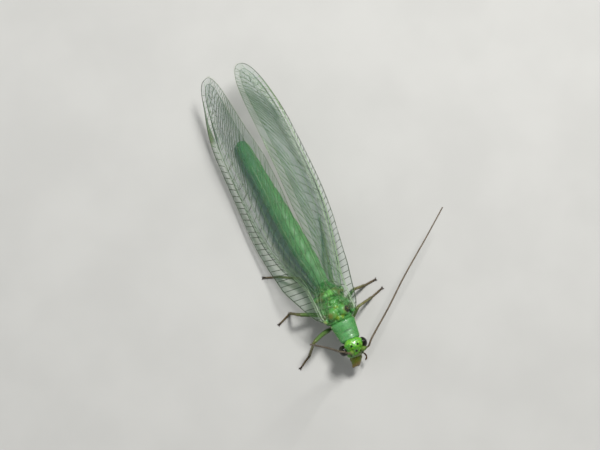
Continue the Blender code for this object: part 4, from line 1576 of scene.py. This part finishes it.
LIMB_HAIR = rgb(88, 70, 48)


def seat_haired(name, slot, piece, material, nodes, hairs, hair):
    """Seats a skin, and the hairs sown on it as a piece of their own."""
    seat(piece, name + "_skin", slot, material, *nodes)
    seat(hairs, name + "_hairs", slot, hair)


class LACEWING_OT_head(bpy.types.Operator):
    """Shape the head, the mouth, the faceted eyes and the palps"""

    bl_idname = "lacewing.head"
    bl_label = "Head, eyes and mouth"

    def execute(self, context):
        body = context.scene.lacewing_body
        hair = hair_finish("body_hair", shade(body.hair_colour))
        head = head_shape()
        hairs = spikes(sown(head, 420, 5, 0.075, (0, -0.5, -0.6), 0.6, lambda root: root.z > 1.3))
        seat_haired("head", "head_green", head, head_finish(body), ["head"], hairs, hair)
        mouth = mouth_shape()
        hairs = spikes(sown(mouth, 90, 6, 0.07, (0, -0.6, -0.6), 0.55))
        seat_haired("mouth", "face_olive", mouth, mouth_finish(body), ["clypeus"], hairs, hair)
        gloss, brown = eye_finish(body), palp_finish()
        for side_name, side in SIDES.items():
            eye = "eye_" + side_name
            seat(eye_shape(side), "eye_facets_" + side_name, "eye_dark", gloss, eye, sharp=24)
            stroke = jointed([PALP_ROOTS[side_name], *PALPS[side_name]], 5, (0.062, 0.056), waist=0.7)
            palp = "palp_" + side_name
            seat(tubes([stroke]), "palp_joints_" + side_name, "palp_brown", brown, palp)
        return {"FINISHED"}


class LACEWING_OT_feelers(bpy.types.Operator):
    """Draw out both ringed feelers with their hairs"""

    bl_idname = "lacewing.feelers"
    bl_label = "Feelers"

    def execute(self, context):
        limbs = context.scene.lacewing_limbs
        brown, hair = feeler_finish(limbs), hair_finish("limb_hair", LIMB_HAIR)
        for side_name in SIDES:
            whip, hairs = feeler_shape(side_name, limbs)
            nodes = [f"antenna_{side_name}_{part}" for part in ("scape", "flagellum", "tip")]
            seat(whip, "feeler_rings_" + side_name, "feeler_brown", brown, *nodes)
            seat(hairs, "feeler_hairs_" + side_name, "feeler_brown", hair)
        return {"FINISHED"}


TRUNK = (  # name, shape, finish, hairs with how they lie and stand, and the solids replaced
    ("thorax", thorax_shape, thorax_finish, 900, (0, 0.9, -0.1), 0.5, ["mesothorax", "metathorax"]),
    ("pronotum", pronotum_shape, pronotum_finish, 700, (0, 0.7, 0.1), 0.55, ["prothorax"]),
    ("abdomen", abdomen_shape, abdomen_finish, 2600, (0, 1, -0.1), 0.35, ["abdomen", "abdomen_tip"]),
)


class LACEWING_OT_trunk(bpy.types.Operator):
    """Shape thorax and abdomen and sow their fine hairs"""

    bl_idname = "lacewing.trunk"
    bl_label = "Thorax and abdomen"

    def execute(self, context):
        body = context.scene.lacewing_body
        hair = hair_finish("body_hair", shade(body.hair_colour))
        for seed, (name, make, finish, count, lie, stand, nodes) in enumerate(TRUNK, 21):
            skin = make()
            hairs = spikes(sown(skin, count, seed, body.hair_length / MM, lie, stand))
            seat_haired(name, "body_green", skin, finish(body), nodes, hairs, hair)
        return {"FINISHED"}


class LACEWING_OT_legs(bpy.types.Operator):
    """Shape the legs joint by joint, with spurs, claws and hairs"""

    bl_idname = "lacewing.legs"
    bl_label = "Legs"

    def execute(self, context):
        limbs = context.scene.lacewing_limbs
        skin, lit_veil_skin = leg_finish(limbs, "leg_skin"), leg_finish(limbs, "leg_skin_pale", 0.5)
        hair = hair_finish("limb_hair", LIMB_HAIR)
        for pair in COXAE:
            for side_name in SIDES:
                leg = f"{pair}_{side_name}"
                pieces, hairs = leg_pieces(leg, pair, side_name, limbs)
                # The left hind leg gets the copy with painted light from the wing film over it.
                cover = lit_veil_skin if leg == "hind_left" else skin
                solid = f"{pair}leg_{side_name}"
                for part, piece in pieces.items():
                    slot = "foot_brown" if part == "tarsus" else "leg_green"
                    seat(piece, f"{solid}_{part}_skin", slot, cover, f"{solid}_{part}")
                seat(hairs, solid + "_hairs", "leg_green", hair)
        return {"FINISHED"}


class LACEWING_OT_wings(bpy.types.Operator):
    """Lay films, veins and fringes of the four wings on the roof they make"""

    bl_idname = "lacewing.wings"
    bl_label = "Wings"

    def execute(self, context):
        wings = context.scene.lacewing_wings
        film, vein = film_finish(wings), vein_finish(wings)
        # The hairs' pale colour is partly their own and partly painted glints of light on the wings.
        hair = hair_finish("wing_hair", rgb(158, 172, 142))
        spacing = wings.costal_spacing / MM
        edges = (forewing_front, forewing_hind, FOREWING_FROM, FOREWING_LENGTH)
        fore = WingPlan(*edges, seed=31, costal_spacing=spacing, costal_dark=0.95)
        edges = (hindwing_front, hindwing_hind, HINDWING_FROM, HINDWING_TO)
        hind = WingPlan(*edges, seed=32, costal_spacing=spacing * 0.9, costal_dark=0.6)
        for side_name in SIDES:
            roof = Roof(side_name)
            for pair, plan, lift, weight in (("fore", fore, 0.0, 1.0), ("hind", hind, -0.16, 0.8)):
                wing = f"{pair}wing_{side_name}"
                piece = wing_film(roof, plan, lift, wings.film_width / MM)
                seat(piece, wing + "_film", "wing_film", film, wing)
                seat(wing_veins(roof, plan, lift, weight), wing + "_veins", "wing_film", vein)
                hairs = wing_hairs(roof, plan, lift, wings.fringe_length / MM, 40 + SIDES[side_name])
                seat(hairs, wing + "_hairs", "wing_film", hair)
        return {"FINISHED"}


VIEW_BACK = Vector((-0.10, -0.16, 0.982)).normalized()
VIEW_TARGET = Vector((0.25, 5.78, 2.5))
VIEW_DISTANCE = 102.0
VIEW_TURN = math.radians(25)
FLOOR_SIZE = 1.2
LIGHTS = (  # millimetres right of, above and before the view's middle, size in metres, power and tint
    ((42, 88, 118), 0.035, "key_power", (1.0, 0.99, 0.97)),
    ((-110, 20, 90), 0.16, "fill_power", (0.96, 0.98, 1.0)),
)


class LACEWING_OT_stage(bpy.types.Operator):
    """Set floor, soft light and the camera"""

    bl_idname = "lacewing.stage"
    bl_label = "Floor, light and camera"

    def execute(self, context):
        stage = context.scene.lacewing_stage
        scene = context.scene
        centre = VIEW_TARGET * MM + SHIFT
        only(None)
        bpy.ops.mesh.primitive_plane_add(size=FLOOR_SIZE, location=(0, 0, 0))
        floor = bpy.context.object
        floor.name = "floor"
        finish = Finish("floor_pale", Roughness=0.6, Specular_IOR_Level=0.3)
        tone = finish.noise(6.0, detail=3)
        base, darker = shade(stage.floor_colour), shade(stage.floor_colour, 0.94)
        finish.set(Base_Color=finish.mix(tone.between(0.3, 0.7), base, darker))
        floor.data.materials.append(finish.material)
        across = Vector((1, 0, 0))
        across = (across - VIEW_BACK * across.dot(VIEW_BACK)).normalized()
        away = VIEW_BACK.cross(across)
        right = across * math.cos(VIEW_TURN) - away * math.sin(VIEW_TURN)
        up = across * math.sin(VIEW_TURN) + away * math.cos(VIEW_TURN)
        turn = Matrix((right, up, VIEW_BACK)).transposed().to_4x4()
        bpy.ops.object.camera_add()
        camera = bpy.context.object
        camera.matrix_world = Matrix.Translation(centre + VIEW_BACK * VIEW_DISTANCE * MM) @ turn
        camera.data.sensor_width = 36
        camera.data.lens = stage.lens
        camera.data.clip_start, camera.data.clip_end = 0.002, 10
        scene.camera = camera
        scene.view_settings.view_transform = "Standard"
        for (x, y, z), size, power, tint in LIGHTS:
            place = right * x + up * y + VIEW_BACK * z
            bpy.ops.object.light_add(type="AREA", location=centre + place * MM)
            light = bpy.context.object
            light.rotation_euler = (-place).to_track_quat("-Z", "Y").to_euler()
            light.data.size, light.data.energy, light.data.color = size, getattr(stage, power), tint
        world = bpy.data.worlds.new("studio")
        scene.world = world
        world.use_nodes = True
        surround = world.node_tree.nodes["Background"]
        surround.inputs["Color"].default_value = (1, 1, 1, 1)
        surround.inputs["Strength"].default_value = stage.sky_strength
        return {"FINISHED"}


STEPS = (
    LACEWING_OT_head,
    LACEWING_OT_feelers,
    LACEWING_OT_trunk,
    LACEWING_OT_legs,
    LACEWING_OT_wings,
    LACEWING_OT_stage,
)


class LACEWING_PT_panel(bpy.types.Panel):
    """Lists the steps and their sizes and colours"""

    bl_label = "Green Lacewing"
    bl_space_type = "VIEW_3D"
    bl_region_type = "UI"
    bl_category = "Lacewing"

    def draw(self, context):
        for step in STEPS:
            self.layout.operator(step.bl_idname)
        for name, group in SETTINGS.items():
            box = self.layout.box()
            box.label(text=group.__doc__)
            for key in group.__annotations__:
                box.prop(getattr(context.scene, name), key)


def register():
    for group in SETTINGS.values():
        bpy.utils.register_class(group)
    for name, group in SETTINGS.items():
        setattr(bpy.types.Scene, name, bpy.props.PointerProperty(type=group))
    for step in (*STEPS, LACEWING_PT_panel):
        bpy.utils.register_class(step)


def unregister():
    for step in (LACEWING_PT_panel, *reversed(STEPS)):
        bpy.utils.unregister_class(step)
    for name in SETTINGS:
        delattr(bpy.types.Scene, name)
    for group in SETTINGS.values():
        bpy.utils.unregister_class(group)


def main():
    register()
    bpy.ops.object.select_all(action="DESELECT")
    for step in STEPS:
        group, name = step.bl_idname.split(".")
        getattr(getattr(bpy.ops, group), name)()


if __name__ == "__main__":
    main()
